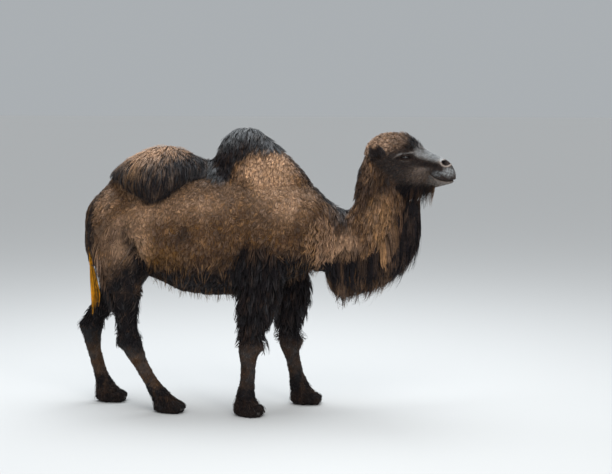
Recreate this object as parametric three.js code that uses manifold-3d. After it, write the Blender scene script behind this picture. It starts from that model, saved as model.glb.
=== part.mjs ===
// A standing two-humped camel at life size, as a still museum model. Millimetres, +Z up, the nose
// towards +X and the right side towards -Y. The flesh is modelled whole: lofts of trunk, neck, head, humps,
// legs and feet are joined, and thin cuts then part them where a person would name them. The outlines
// run out to the tips of the coat. The mane, the tail, the ears, the eyes and the nails are added to that.
import * as THREE from 'three';
import { LoftGeometry } from 'three/addons/geometries/LoftGeometry.js';
import { mergeVertices } from 'three/addons/utils/BufferGeometryUtils.js';
import Module from 'manifold-3d';

const wasm = await Module();
wasm.setup();

// Driving dimensions.
const GAP = 0.4; // clearance kept where two parts meet
const RIGHT = -1; // sign of Y on the right side
const LEFT = 1;
const SIDES = [[RIGHT, 'right'], [LEFT, 'left']];
const AHEAD = 0; // the axes along which parts are told apart
const UP = 2;
const STANCE = { fore: 214, hind: 158 }; // half the distance between left and right feet
const KEEL = 64; // half of the strip of belly left between the legs of a pair
const EYE = { x: 972, across: 96, z: 1817, radius: 28 };
const EAR = { x: 776, across: 126, z: 1846, half: 52, length: 136, thick: 30, wall: 9 };
const NOSTRIL = { x: 1254, across: 60, z: 1775, radii: [27, 15, 13] };
const CLEFT = { depth: 74, width: 22 };
const NAIL = { radii: [21, 17, 15], height: 34, across: 40 };
const SOLE_HEIGHT = 60; // of the part of a foot that lies flat
const ANKLE_HEIGHT = 132; // where a foot ends and the shank starts

const COAT_BROWN = 0x5a4331;
const COAT_TAN = 0x6d543c;
const HUMP_DARK = 0x35262a;
const FACE_DARK = 0x3d3237;
const LEG_DARK = 0x2e231f;
const FOOT_BLACK = 0x1f1a1b;
const MANE_DARK = 0x2c2022;
const TAIL_AMBER = 0xb9781c;
const LIP_GREY = 0x8b8a88;
const EYE_BLACK = 0x120c0a;
const NAIL_GREY = 0x3a332f;

// --- Solids -------------------------------------------------------------------------------------

function merged(geometry) {
  const bare = new THREE.BufferGeometry();
  bare.setAttribute('position', geometry.getAttribute('position').clone());
  bare.setIndex(geometry.getIndex());
  return mergeVertices(bare, 1e-3);
}

function solidOf(geometry) {
  const { attributes, index } = merged(geometry);
  const mesh = new wasm.Mesh({
    numProp: 3,
    vertProperties: attributes.position.array,
    triVerts: new Uint32Array(index.array),
  });
  return new wasm.Manifold(mesh);
}

function geometryOf(solid) {
  const mesh = solid.getMesh();
  const geometry = new THREE.BufferGeometry();
  geometry.setAttribute('position', new THREE.BufferAttribute(mesh.vertProperties, 3));
  geometry.setIndex(new THREE.BufferAttribute(mesh.triVerts, 1));
  return geometry;
}

// Cuts and joins can leave splinters beside the piece itself, which are dropped.
function largest(solid) {
  return solid.decompose().sort((a, b) => b.volume() - a.volume())[0];
}

// A form with every point moved outwards by the height given for its place.
function moved(geometry, heightAt) {
  const result = merged(geometry);
  result.computeVertexNormals();
  const { position, normal } = result.attributes;
  const place = new THREE.Vector3();
  const outwards = new THREE.Vector3();
  for (let i = 0; i < position.count; i += 1) {
    place.fromBufferAttribute(position, i);
    outwards.fromBufferAttribute(normal, i);
    const height = heightAt(place);
    position.setXYZ(i, ...place.addScaledVector(outwards, height).toArray());
  }
  return result;
}

// The slightly larger form that a neighbour is cut with.
function grown(geometry) {
  return moved(geometry, () => GAP);
}

// Rounded swellings and hollows on both sides: [x, distance from the middle, z, reach, height].
function swell(geometry, swellings) {
  return moved(geometry, (place) => swellings.reduce((sum, [x, across, z, reach, height]) => {
    const away = Math.hypot(place.x - x, Math.abs(place.y) - across, place.z - z) / reach;
    return sum + height * Math.exp(-away * away);
  }, 0));
}

// What lies between `from` and `to` across the animal, behind an outline seen from the right side.
// `margin` widens it on every side.
function region(outline, from, to, margin = 0) {
  const shape = new THREE.Shape(outline.map(([x, z]) => new THREE.Vector2(x, z)));
  const block = new THREE.ExtrudeGeometry(shape, {
    depth: to - from - 2 * margin,
    bevelEnabled: margin > 0,
    bevelThickness: 2 * margin,
    bevelSize: margin,
    bevelSegments: 1,
  });
  block.rotateX(Math.PI / 2);
  block.translate(0, to - margin, 0);
  return block;
}

// A square wall of GAP thickness through [x, z], seen from the right side, leaning by `lean` from upright.
function wall([x, z], { lean, size }) {
  const slab = new THREE.BoxGeometry(GAP, size, size);
  slab.rotateY(lean);
  slab.translate(x, 0, z);
  return solidOf(slab);
}

// The two halves that a wall parts a solid into, the one whose middle is further along `axis` first.
function parted(solid, cut, axis) {
  const pieces = solid.subtract(cut).decompose().sort((a, b) => b.volume() - a.volume()).slice(0, 2);
  const middle = (piece) => piece.boundingBox().min[axis] + piece.boundingBox().max[axis];
  return pieces.sort((a, b) => middle(b) - middle(a));
}

// --- Forms --------------------------------------------------------------------------------------

// A closed skin over rings of points, wound so that its faces point outwards.
function loft(rings) {
  const centres = rings.slice(0, 2).map((points) => points
    .reduce((sum, point) => sum.add(point), new THREE.Vector3()).divideScalar(points.length));
  const onward = new THREE.Vector3().subVectors(centres[1], centres[0]);
  const facing = new THREE.Vector3();
  rings[0].forEach((point, i) => {
    const next = rings[0][(i + 1) % rings[0].length];
    facing.add(new THREE.Vector3().crossVectors(point.clone().sub(centres[0]), next.clone().sub(centres[0])));
  });
  if (facing.dot(onward) < 0) rings.forEach((points) => points.reverse());
  return new LoftGeometry(rings, { capStart: true, capEnd: true });
}

function power(value, exponent) {
  return Math.sign(value) * Math.abs(value) ** exponent;
}

// One closed ring between an upper and a lower outline point. `level` is where it is widest, from 0 at
// the lower point to 1 at the upper, and `crown` and `keel` square (over 2) or pinch (under 2) its halves.
function ring(upper, lower, half, level, crown, keel, around) {
  const widest = new THREE.Vector3().lerpVectors(lower, upper, level);
  const points = [];
  for (let i = 0; i < around; i += 1) {
    const angle = ((i + 0.5) / around) * 2 * Math.PI;
    const exponent = 2 / (Math.cos(angle) > 0 ? crown : keel);
    const rise = power(Math.cos(angle), exponent);
    const end = rise > 0 ? upper : lower;
    const point = widest.clone().lerp(end, Math.abs(rise));
    point.y += power(Math.sin(angle), exponent) * half;
    points.push(point);
  }
  return points;
}

// A loft through stations [upper x, upper z, lower x, lower z, half width, widest level, crown, keel],
// with `steps` rings from each station to the next.
function form(stations, around, steps = 1) {
  const spline = (pick) => new THREE.CatmullRomCurve3(stations.map((s) => new THREE.Vector3(...pick(s))));
  const uppers = spline((s) => [s[0], 0, s[1]]);
  const lowers = spline((s) => [s[2], 0, s[3]]);
  const widths = spline((s) => [s[4], 0, 0]);
  const shapes = spline((s) => [s[5] ?? 0.5, s[6] ?? 2, s[7] ?? 2]);
  const count = (stations.length - 1) * steps;
  const rings = [];
  for (let i = 0; i <= count; i += 1) {
    const t = i / count;
    const shape = shapes.getPoint(t);
    const half = Math.max(widths.getPoint(t).x, 1);
    rings.push(ring(uppers.getPoint(t), lowers.getPoint(t), half, shape.x, shape.y, shape.z, around));
  }
  return loft(rings);
}

// A limb follows its joints. Each girth is [place along the joints, reach forwards, reach backwards,
// half width], with place 0 at the first joint, 1 at the second and so on.
function limb(joints, girths, around, steps = 1) {
  const line = new THREE.CatmullRomCurve3(joints, false, 'centripetal');
  const sizes = new THREE.CatmullRomCurve3(girths.map((g) => new THREE.Vector3(g[1], g[2], g[3])));
  const places = new THREE.CatmullRomCurve3(girths.map((g) => new THREE.Vector3(g[0], 0, 0)));
  const count = (girths.length - 1) * steps;
  const rings = [];
  for (let i = 0; i <= count; i += 1) {
    const place = THREE.MathUtils.clamp(places.getPoint(i / count).x / (joints.length - 1), 0, 1);
    const centre = line.getPoint(place);
    const tangent = line.getTangent(place);
    const forwards = new THREE.Vector3(-tangent.z, 0, tangent.x).normalize();
    const size = sizes.getPoint(i / count);
    const points = [];
    for (let j = 0; j < around; j += 1) {
      const angle = ((j + 0.5) / around) * 2 * Math.PI;
      const ahead = Math.cos(angle);
      const point = centre.clone().addScaledVector(forwards, ahead * (ahead > 0 ? size.x : size.y));
      point.y += Math.sin(angle) * size.z;
      points.push(point);
    }
    rings.push(points);
  }
  return loft(rings);
}

function ellipsoid(radii, centre, turn = new THREE.Euler(), segments = 9) {
  const shape = new THREE.SphereGeometry(1, segments, Math.round(segments * 0.6));
  shape.scale(...radii);
  shape.applyMatrix4(new THREE.Matrix4().makeRotationFromEuler(turn).setPosition(...centre));
  return shape;
}

// --- Trunk, neck and head -----------------------------------------------------------------------

// From the buttocks along the back to the root of the neck, down and up the neck to the poll.
const TRUNK_AND_NECK = [
  [-1286, 1300, -1278, 1210, 46],
  [-1272, 1412, -1250, 1096, 150],
  [-1226, 1520, -1180, 1010, 232],
  [-1122, 1632, -1070, 972, 292, 0.48],
  [-960, 1700, -940, 992, 322, 0.46, 1.9],
  [-790, 1742, -790, 934, 362, 0.43, 1.8],
  [-610, 1770, -610, 850, 396, 0.42, 1.75],
  [-420, 1786, -410, 822, 402, 0.43, 1.7],
  [-230, 1780, -210, 828, 380, 0.44, 1.7],
  [-40, 1770, -20, 862, 346, 0.45, 1.7],
  [120, 1756, 150, 930, 308, 0.46, 1.75],
  [255, 1676, 290, 1000, 264, 0.46, 1.8],
  [366, 1584, 400, 1024, 222, 0.46, 1.9],
  [452, 1494, 510, 966, 194, 0.48],
  [530, 1450, 640, 948, 176],
  [586, 1440, 770, 1006, 164],
  [608, 1478, 880, 1112, 156],
  [612, 1558, 958, 1240, 150],
  [620, 1642, 994, 1372, 145],
  [640, 1738, 1006, 1466, 136],
  [694, 1836, 976, 1556, 104],
];
const MUSCLES = [
  [170, 250, 1330, 170, 28], // shoulder blade
  [330, 190, 1150, 120, 18], // breast
  [-1000, 290, 1430, 150, 16], // hip
  [-850, 330, 1180, 110, -26], // hollow of the flank
  [-190, 350, 1080, 110, -14], // behind the elbow
];

// From inside the neck over the crown and along the nose to the lips.
const HEAD = [
  [668, 1800, 800, 1560, 84],
  [692, 1882, 850, 1536, 110, 0.52],
  [742, 1944, 890, 1530, 122, 0.55],
  [800, 1976, 925, 1531, 125, 0.56],
  [866, 1988, 966, 1537, 121, 0.58],
  [928, 1984, 1008, 1544, 114, 0.6],
  [984, 1968, 1046, 1552, 104, 0.6],
  [1032, 1938, 1078, 1560, 94, 0.6],
  [1072, 1902, 1108, 1569, 83, 0.57],
  [1112, 1872, 1136, 1580, 75, 0.53],
  [1156, 1848, 1166, 1591, 69, 0.5],
  [1202, 1824, 1202, 1602, 65, 0.48],
  [1244, 1806, 1240, 1610, 65, 0.48],
  [1280, 1784, 1274, 1618, 59, 0.47],
  [1304, 1750, 1298, 1630, 48, 0.46],
  [1319, 1716, 1314, 1644, 35, 0.45],
  [1327, 1692, 1323, 1662, 18],
];
const FACE = [
  [955, 92, 1868, 50, 16], // brow over the eye
  [975, 98, 1817, 36, -10], // socket
  [985, 96, 1758, 42, 8], // under the eye
  [950, 96, 1650, 90, 10], // jaw muscle
  [1100, 68, 1800, 40, -8], // hollow before the eye
  [1246, 54, 1776, 34, 8], // rim of the nostril
  [1286, 34, 1706, 34, 8], // upper lip
  [1212, 50, 1690, 34, 6], // side of the upper lip
];

// --- Humps --------------------------------------------------------------------------------------

// The front hump stands up. Its stations run upwards: front point, back point, half width.
const FRONT_HUMP = [
  [338, 1580, -404, 1600, 232, 0.45],
  [300, 1666, -398, 1690, 214, 0.44],
  [233, 1748, -376, 1770, 190, 0.42],
  [160, 1822, -352, 1842, 160, 0.4],
  [58, 1904, -322, 1912, 126, 0.42],
  [-26, 1978, -272, 1972, 90, 0.45],
  [-78, 2012, -212, 2010, 54],
  [-126, 2022, -164, 2021, 18],
];
// The rear hump is slack. Its stations run forwards, from crest to fringe, and it slumps to the right.
const REAR_HUMP = [
  [-1112, 1652, -1096, 1600, 16],
  [-1084, 1700, -1040, 1588, 92, 0.5, 2, 2.4],
  [-998, 1778, -960, 1552, 150, 0.5, 2, 3],
  [-880, 1850, -862, 1508, 186, 0.5, 2, 3.2],
  [-780, 1888, -786, 1488, 202, 0.48, 2, 3.2],
  [-690, 1893, -712, 1486, 206, 0.48, 2, 3.2],
  [-606, 1876, -636, 1524, 196, 0.48, 2, 3.2],
  [-530, 1826, -560, 1582, 168, 0.5, 2, 3],
  [-458, 1798, -480, 1632, 124, 0.5, 2, 2.4],
  [-412, 1780, -424, 1664, 60],
];
// `over` is how far it has gone over at the depth given below its top. The left side hangs `back` from
// that, so that it spreads a little to the left, and has sunk `down` into the back.
const SLUMP = { top: 1893, depth: 397, over: 205, back: 1.3, down: 80 };

function rearHump() {
  const hump = form(REAR_HUMP, 16);
  const { position } = hump.attributes;
  for (let i = 0; i < position.count; i += 1) {
    const fallen = Math.sqrt(Math.max(SLUMP.top - position.getZ(i), 0) / SLUMP.depth);
    const leftwards = THREE.MathUtils.clamp(0.5 + position.getY(i) / (2 * SLUMP.over), 0, 1);
    const past = Math.max(position.getY(i) / SLUMP.over, 0);
    position.setY(i, position.getY(i) + RIGHT * SLUMP.over * fallen * (1 - SLUMP.back * leftwards));
    position.setZ(i, position.getZ(i) - SLUMP.down * past * past);
  }
  return hump;
}

// --- Legs ---------------------------------------------------------------------------------------

const FORE_GIRTHS = [
  [0, 120, 120, 40],
  [0.4, 172, 168, 88],
  [0.75, 184, 172, 104],
  [1, 176, 166, 108],
  [1.3, 186, 152, 104],
  [1.52, 166, 136, 94],
  [1.7, 122, 118, 80],
  [1.86, 88, 98, 68],
  [2, 86, 88, 64],
  [2.14, 66, 78, 57],
  [2.4, 47, 50, 43],
  [2.75, 46, 50, 42],
  [3, 60, 66, 56],
  [3.5, 50, 56, 48],
];
const HIND_GIRTHS = [
  [0, 180, 160, 84],
  [0.35, 208, 176, 104],
  [0.7, 206, 184, 114],
  [1, 168, 168, 108],
  [1.3, 126, 132, 88],
  [1.6, 88, 94, 64],
  [1.84, 76, 88, 54],
  [2, 84, 100, 54],
  [2.14, 66, 78, 49],
  [2.4, 47, 50, 41],
  [2.75, 44, 48, 39],
  [3, 52, 58, 50],
  [3.5, 44, 50, 44],
];
// Joints as [x, distance from the middle, z]: shoulder, elbow, knee and fetlock, or hip, stifle, hock and
// fetlock. `region` is the outline that parts the leg from the trunk, and `knee` its lean there.
const LEGS = {
  foreleg_right: {
    side: RIGHT,
    girths: FORE_GIRTHS,
    joints: [[60, 200, 1290], [-22, 218, 1010], [-92, 218, 516], [-124, STANCE.fore, 152]],
    foot: { x: -110, turn: -0.4 },
    region: [[-262, -60], [290, -60], [290, 560], [160, 800], [160, 1010], [118, 1130], [30, 1206],
      [-60, 1206], [-150, 1130], [-204, 1010], [-214, 700]],
  },
  foreleg_left: {
    side: LEFT,
    girths: FORE_GIRTHS,
    joints: [[130, 200, 1290], [118, 218, 1000], [136, 218, 486], [200, STANCE.fore, 152]],
    foot: { x: 252, turn: 0.08 },
    region: [[0, -60], [520, -60], [520, 560], [318, 800], [318, 1010], [276, 1130], [188, 1206], [98, 1206],
      [8, 1130], [-46, 1010], [-56, 700]],
  },
  hindleg_right: {
    side: RIGHT,
    girths: HIND_GIRTHS,
    joints: [[-1066, 186, 1330], [-1000, 206, 985], [-950, 174, 505], [-772, STANCE.hind, 152]],
    foot: { x: -686, turn: -0.16 },
    region: [[-1500, -60], [-400, -60], [-560, 560], [-812, 900], [-836, 1060], [-890, 1220], [-980, 1330],
      [-1090, 1370], [-1200, 1330], [-1330, 1200], [-1500, 900]],
  },
  hindleg_left: {
    side: LEFT,
    girths: HIND_GIRTHS,
    joints: [[-1066, 186, 1330], [-1046, 206, 966], [-1312, 174, 556], [-1232, STANCE.hind, 152]],
    foot: { x: -1178, turn: 0.12 },
    region: [[-1700, -60], [-700, -60], [-700, 560], [-812, 900], [-836, 1060], [-890, 1220], [-980, 1330],
      [-1090, 1370], [-1200, 1330], [-1330, 1200], [-1600, 900]],
  },
};

// A foot from the sole up: front point, back point, half width. Its own origin is on the ground.
const FOOT = [
  [104, 0, -98, 0, 78, 0.58, 2.6, 2.1],
  [117, 14, -114, 14, 89, 0.58, 2.6, 2.1],
  [116, 38, -118, 40, 90, 0.58, 2.6, 2.1],
  [98, 66, -114, 72, 82, 0.56, 2.4, 2.1],
  [66, 92, -104, 104, 68, 0.53, 2.2],
  [42, 122, -94, 136, 56],
  [26, 160, -82, 168, 46],
];

// A foot on the ground at `place`, its upper part following the slope of the shank.
function foot(place, slope) {
  const shape = form(FOOT, 12);
  const { position } = shape.attributes;
  for (let i = 0; i < position.count; i += 1) {
    position.setX(i, position.getX(i) + slope * Math.max(position.getZ(i) - SOLE_HEIGHT, 0));
  }
  return shape.applyMatrix4(place);
}

// The narrow notch that parts the two toes.
function toeCleft(place) {
  const notch = new THREE.Shape();
  notch.moveTo(140, -CLEFT.width / 2);
  notch.lineTo(140, CLEFT.width / 2);
  notch.lineTo(118 - CLEFT.depth, 0);
  const wedge = new THREE.ExtrudeGeometry(notch, { depth: ANKLE_HEIGHT, bevelEnabled: false });
  wedge.translate(0, 0, 20);
  return wedge.applyMatrix4(place);
}

function nail(place, side) {
  const centre = [104, side * NAIL.across, NAIL.height];
  return ellipsoid(NAIL.radii, centre, new THREE.Euler(0, 0.3, side * 0.28), 6).applyMatrix4(place);
}

// The forms of one leg, joined, with what later parts it.
function leg({ side, joints, girths, foot: { x, turn } }) {
  const points = joints.map(([jx, across, z]) => new THREE.Vector3(jx, side * across, z));
  const ankle = new THREE.Vector3(x - 26, side * joints[3][1], 80);
  const place = new THREE.Matrix4().makeRotationZ(turn).setPosition(x, side * joints[3][1], 0);
  const slope = (joints[2][0] - joints[3][0]) / (joints[2][2] - joints[3][2]);
  const shank = limb([...points, ankle], girths, 12);
  return { place, form: solidOf(shank).add(solidOf(foot(place, slope))) };
}

// --- Mane and tail ------------------------------------------------------------------------------

// Long hair under the neck, from the breast to the throat. The upper points lie inside the neck, and
// the lower ones run along the tips of the hair.
const MANE = [
  [430, 1110, 404, 990, 64, 0.7],
  [470, 1110, 446, 880, 116, 0.7, 2, 1.7],
  [545, 1090, 520, 828, 134, 0.7, 2, 1.6],
  [640, 1090, 622, 836, 136, 0.7, 2, 1.6],
  [740, 1110, 738, 880, 132, 0.7, 2, 1.6],
  [805, 1150, 846, 930, 126, 0.7, 2, 1.6],
  [860, 1200, 950, 1008, 120, 0.7, 2, 1.6],
  [896, 1250, 1030, 1106, 112, 0.7, 2, 1.6],
  [920, 1325, 1076, 1210, 106, 0.7, 2, 1.7],
  [934, 1400, 1090, 1320, 98, 0.68, 2, 1.8],
  [946, 1470, 1082, 1420, 84, 0.65],
  [962, 1520, 1080, 1492, 64, 0.6],
  [980, 1560, 1080, 1534, 40, 0.6],
];
const TAIL = {
  joints: [[-1190, 0, 1540], [-1280, 0, 1390], [-1290, 0, 1200], [-1276, -4, 1040], [-1246, -20, 860],
    [-1238, -26, 655]],
  girths: [
    [0, 20, 20, 26],
    [0.6, 30, 28, 42],
    [1, 28, 26, 44],
    [2, 24, 22, 40],
    [2.8, 24, 24, 36],
    [3.3, 30, 30, 40],
    [4, 34, 34, 42],
    [4.6, 24, 28, 32],
    [5, 8, 8, 10],
  ],
};

// --- Cutting lines, seen from the right side ------------------------------------------------------

const ASIDE = 620; // how far out a cut across one side reaches, past the widest point
const POLL = { lean: -0.8, size: 800 };
const POLL_AT = [850, 1684];
const NECK_ROOT = { lean: 0.04, size: 1100 };
const NECK_ROOT_AT = [392, 1300];
const LEVEL = { lean: -Math.PI / 2, size: 900 };
const TUFT_TOP = [-1276, 1040];
// Each hump lies above a line that dips into the back on both sides of it.
const SADDLE = -404;
const FRONT_HUMP_REGION = [[SADDLE, 2200], [SADDLE, 1740], [-330, 1684], [-140, 1650], [80, 1642],
  [230, 1650], [330, 1664], [420, 1700], [420, 2200]];
const REAR_HUMP_REGION = [[-1200, 2200], [-1130, 1640], [-1040, 1582], [-940, 1532], [-830, 1486],
  [-740, 1476], [-660, 1498], [-560, 1566], [-470, 1618], [SADDLE, 1690], [SADDLE, 2200]];
// The lips part along this line, which runs on behind the corner of the mouth to the angle of the jaw.
const MOUTH_LINE = [[1345, 1661], [1300, 1653], [1236, 1652], [1186, 1668], [1152, 1694], [1100, 1678],
  [1010, 1640], [940, 1580], [890, 1480]];

function mouthCut() {
  const above = MOUTH_LINE.map(([x, z]) => [x, z + GAP]);
  const below = MOUTH_LINE.map(([x, z]) => [x, z - GAP]).reverse();
  return solidOf(region([...above, ...below], -ASIDE, ASIDE));
}

// --- Ears and eyes --------------------------------------------------------------------------------

function eyeball(side, margin = 0) {
  const ball = ellipsoid([1, 1, 1], [0, 0, 0], new THREE.Euler(Math.PI / 2, 0, 0), 11);
  const radius = EYE.radius + margin;
  ball.scale(radius, radius, radius);
  ball.translate(EYE.x, side * EYE.across, EYE.z);
  return solidOf(ball);
}

// A small rounded cup of an ear, hollow towards the front and the outside.
function ear(side) {
  const tall = EAR.length / 2;
  const shell = ellipsoid([EAR.half, EAR.thick, tall], [0, 0, 0]);
  const hollow = ellipsoid(
    [EAR.half - EAR.wall, EAR.thick, tall - EAR.wall],
    [3, side * (EAR.thick - 6), 6],
  );
  const cup = geometryOf(solidOf(shell).subtract(solidOf(hollow)));
  const turn = new THREE.Matrix4().makeRotationFromEuler(new THREE.Euler(-side * 0.5, -0.35, side * 0.25));
  cup.applyMatrix4(turn.setPosition(EAR.x, side * EAR.across, EAR.z));
  return solidOf(cup);
}

// --- Assembly -------------------------------------------------------------------------------------

const camel = new THREE.Group();

function add(name, solid, color, roughness = 0.85) {
  const material = new THREE.MeshStandardMaterial({ color, roughness, metalness: 0 });
  const mesh = new THREE.Mesh(geometryOf(largest(solid)), material);
  mesh.name = name;
  camel.add(mesh);
}

const body = swell(form(TRUNK_AND_NECK, 22), MUSCLES);
const headForm = swell(form(HEAD, 22), FACE);
const legs = Object.fromEntries(Object.entries(LEGS).map(([name, shape]) => [name, leg(shape)]));

let flesh = solidOf(body);
for (const shape of [headForm, form(FRONT_HUMP, 16), rearHump()]) flesh = flesh.add(solidOf(shape));
for (const { form: shape } of Object.values(legs)) flesh = flesh.add(shape);

// Takes from the flesh what lies in a region, and leaves the clearance.
function take(outline, from, to) {
  const piece = flesh.intersect(solidOf(region(outline, from, to)));
  flesh = flesh.subtract(solidOf(region(outline, from, to, GAP)));
  return largest(piece);
}

const whole = flesh;
for (const [name, { side, joints, region: outline }] of Object.entries(LEGS)) {
  const { place } = legs[name];
  const [from, to] = side === RIGHT ? [-ASIDE, -KEEL] : [KEEL, ASIDE];
  const [kneeX, , kneeZ] = joints[2];
  const [upper, below] = parted(take(outline, from, to), wall([kneeX, kneeZ], LEVEL), UP);
  const [lower, pad] = parted(below, wall([kneeX, ANKLE_HEIGHT], LEVEL), UP);
  const toes = geometryOf(pad.subtract(solidOf(toeCleft(place))));
  add(name + '_upper', upper, LEG_DARK);
  add(name + '_lower', lower, LEG_DARK);
  const footName = name.replace('leg', 'foot');
  add(footName, solidOf(toes), FOOT_BLACK);
  for (const [nailSide, word] of SIDES) {
    const tip = solidOf(nail(place, nailSide)).subtract(solidOf(grown(toes)));
    add(footName + '_nail_' + word, tip, NAIL_GREY, 0.5);
  }
}
add('hump_front', take(FRONT_HUMP_REGION, -ASIDE, ASIDE), HUMP_DARK);
add('hump_rear', take(REAR_HUMP_REGION, -ASIDE, ASIDE), HUMP_DARK);

const [headAndJaw, rest] = parted(flesh, wall(POLL_AT, POLL), AHEAD);
const [neck, trunk] = parted(rest, wall(NECK_ROOT_AT, NECK_ROOT), AHEAD);
add('trunk', trunk, COAT_BROWN);
add('neck', neck, COAT_TAN);

const [skull, jaw] = parted(headAndJaw, mouthCut(), UP);
let face = skull;
for (const [side, word] of SIDES) {
  const hole = ellipsoid(NOSTRIL.radii, [NOSTRIL.x, side * NOSTRIL.across, NOSTRIL.z], undefined, 10);
  face = face.subtract(eyeball(side, GAP)).subtract(solidOf(hole));
  add('eye_' + word, eyeball(side), EYE_BLACK, 0.1);
  add('ear_' + word, ear(side).subtract(solidOf(grown(geometryOf(whole)))), HUMP_DARK);
}
add('head', face, FACE_DARK);
add('jaw', jaw, LIP_GREY);

// What the mane and the tail leave free for the flesh.
const room = solidOf(grown(body)).add(solidOf(grown(headForm)));
add('mane', solidOf(form(MANE, 10)).subtract(room), MANE_DARK);

const tailJoints = TAIL.joints.map((place) => new THREE.Vector3(...place));
const tail = solidOf(limb(tailJoints, TAIL.girths, 8)).subtract(room);
const [dock, tuft] = parted(largest(tail), wall(TUFT_TOP, LEVEL), UP);
add('tail_dock', dock, HUMP_DARK);
add('tail_tuft', tuft, TAIL_AMBER);

// The origin lies on the ground below the middle of the whole animal.
const box = new THREE.Box3().setFromObject(camel);
const middle = box.getCenter(new THREE.Vector3());
camel.position.set(-middle.x, -middle.y, -box.min.z);

export default camel;
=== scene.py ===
"""Skin, coat, eyes, nails and stage of a standing two-humped camel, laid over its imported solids."""

import math
from functools import partial

import bmesh
import bpy
import numpy as np
from bpy.props import FloatProperty, FloatVectorProperty, IntProperty, PointerProperty
from bpy.types import Operator, Panel, PropertyGroup
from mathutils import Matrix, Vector
from mathutils.bvhtree import BVHTree
from mathutils.kdtree import KDTree


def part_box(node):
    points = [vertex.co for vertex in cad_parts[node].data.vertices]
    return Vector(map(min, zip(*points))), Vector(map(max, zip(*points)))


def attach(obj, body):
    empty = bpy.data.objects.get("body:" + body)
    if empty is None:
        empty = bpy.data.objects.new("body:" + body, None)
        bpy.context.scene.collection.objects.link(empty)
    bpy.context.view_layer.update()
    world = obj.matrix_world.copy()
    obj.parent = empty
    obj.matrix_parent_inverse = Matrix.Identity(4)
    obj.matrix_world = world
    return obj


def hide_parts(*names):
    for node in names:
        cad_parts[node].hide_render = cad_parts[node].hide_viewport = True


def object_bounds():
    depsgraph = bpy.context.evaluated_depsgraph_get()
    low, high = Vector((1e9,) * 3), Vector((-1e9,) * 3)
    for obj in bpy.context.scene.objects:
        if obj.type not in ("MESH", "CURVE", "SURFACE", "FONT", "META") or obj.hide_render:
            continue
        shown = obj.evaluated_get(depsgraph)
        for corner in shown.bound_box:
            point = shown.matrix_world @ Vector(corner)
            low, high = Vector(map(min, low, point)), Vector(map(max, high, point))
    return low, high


bl_info = {
    "name": "Two-humped camel",
    "version": (1, 0, 0),
    "blender": (4, 5, 0),
    "location": "3D View > Sidebar > Camel",
    "description": "Skin, woolly coat, eyes, nails and stage of a life-size camel",
    "category": "Object",
}

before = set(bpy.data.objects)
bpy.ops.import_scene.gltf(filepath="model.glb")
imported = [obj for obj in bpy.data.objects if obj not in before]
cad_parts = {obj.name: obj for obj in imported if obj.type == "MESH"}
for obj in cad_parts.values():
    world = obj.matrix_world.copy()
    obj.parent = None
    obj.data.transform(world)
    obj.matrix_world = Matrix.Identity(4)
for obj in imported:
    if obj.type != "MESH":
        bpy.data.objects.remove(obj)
CAD_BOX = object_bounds()

FORELEGS = ("foreleg_right", "foreleg_left")
HINDLEGS = ("hindleg_right", "hindleg_left")
LEGS = FORELEGS + HINDLEGS
FEET = tuple(leg.replace("leg", "foot") for leg in LEGS)
SIDES = (("right", -1), ("left", 1))
DOWN = np.array([0.0, 0.0, -1.0])
# Heights of the soles and of the lowest hair over the floor, and the level that hair of the forearms ends at.
SOLE_GAP, HAIR_GAP, OVER_KNEE = 0.0012, 0.0005, 0.535
# How far the mane's locks hang off its solid.
LOCK_GAP = 0.012
# Heights of the upper and lower lid over the middle of the slit between them.
SLIT_TOP, SLIT_BOTTOM = 0.0080, -0.0066
# Shares that a point moves towards its neighbours in a round of evening, and back out again.
EVENING, SWELLING = 0.55, 0.57
# Numbers that tell the cells of a grid apart.
CELL_KEYS = np.array([4_000_037, 2_003, 1])
# A tuft's three sides, half its width on the unwrap, and its rings' widths by how many it has.
TUFT_SIDES = ((0, 1), (1, 2), (2, 0))
TUFT_PATCH = 0.0015
RING_WIDTHS = {2: (0.9, 0.85), 3: (0.8, 1.0, 0.62), 4: (0.75, 1.0, 0.85, 0.5),
               5: (0.7, 1.0, 0.95, 0.75, 0.42), 6: (0.7, 1.0, 1.0, 0.85, 0.65, 0.36)}
# What a search tree tells of the nearest place on its surface.
PLACE, NORMAL, TRIANGLE, AWAY = range(4)

# Flesh nodes by the kind of coat that grows on them.
KINDS = {
    "trunk": ["trunk"],
    "neck": ["neck"],
    "hump_front": ["hump_front"],
    "hump_rear": ["hump_rear"],
    "head": ["head"],
    "jaw": ["jaw"],
    "ear": ["ear_right", "ear_left"],
    "forearm": [leg + "_upper" for leg in FORELEGS],
    "fore_cannon": [leg + "_lower" for leg in FORELEGS],
    "fore_foot": list(FEET[:2]),
    "thigh": [leg + "_upper" for leg in HINDLEGS],
    "hind_cannon": [leg + "_lower" for leg in HINDLEGS],
    "hind_foot": list(FEET[2:]),
    "dock": ["tail_dock"],
}
KIND_NAMES = list(KINDS)
FLESH = [name for names in KINDS.values() for name in names]

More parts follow.
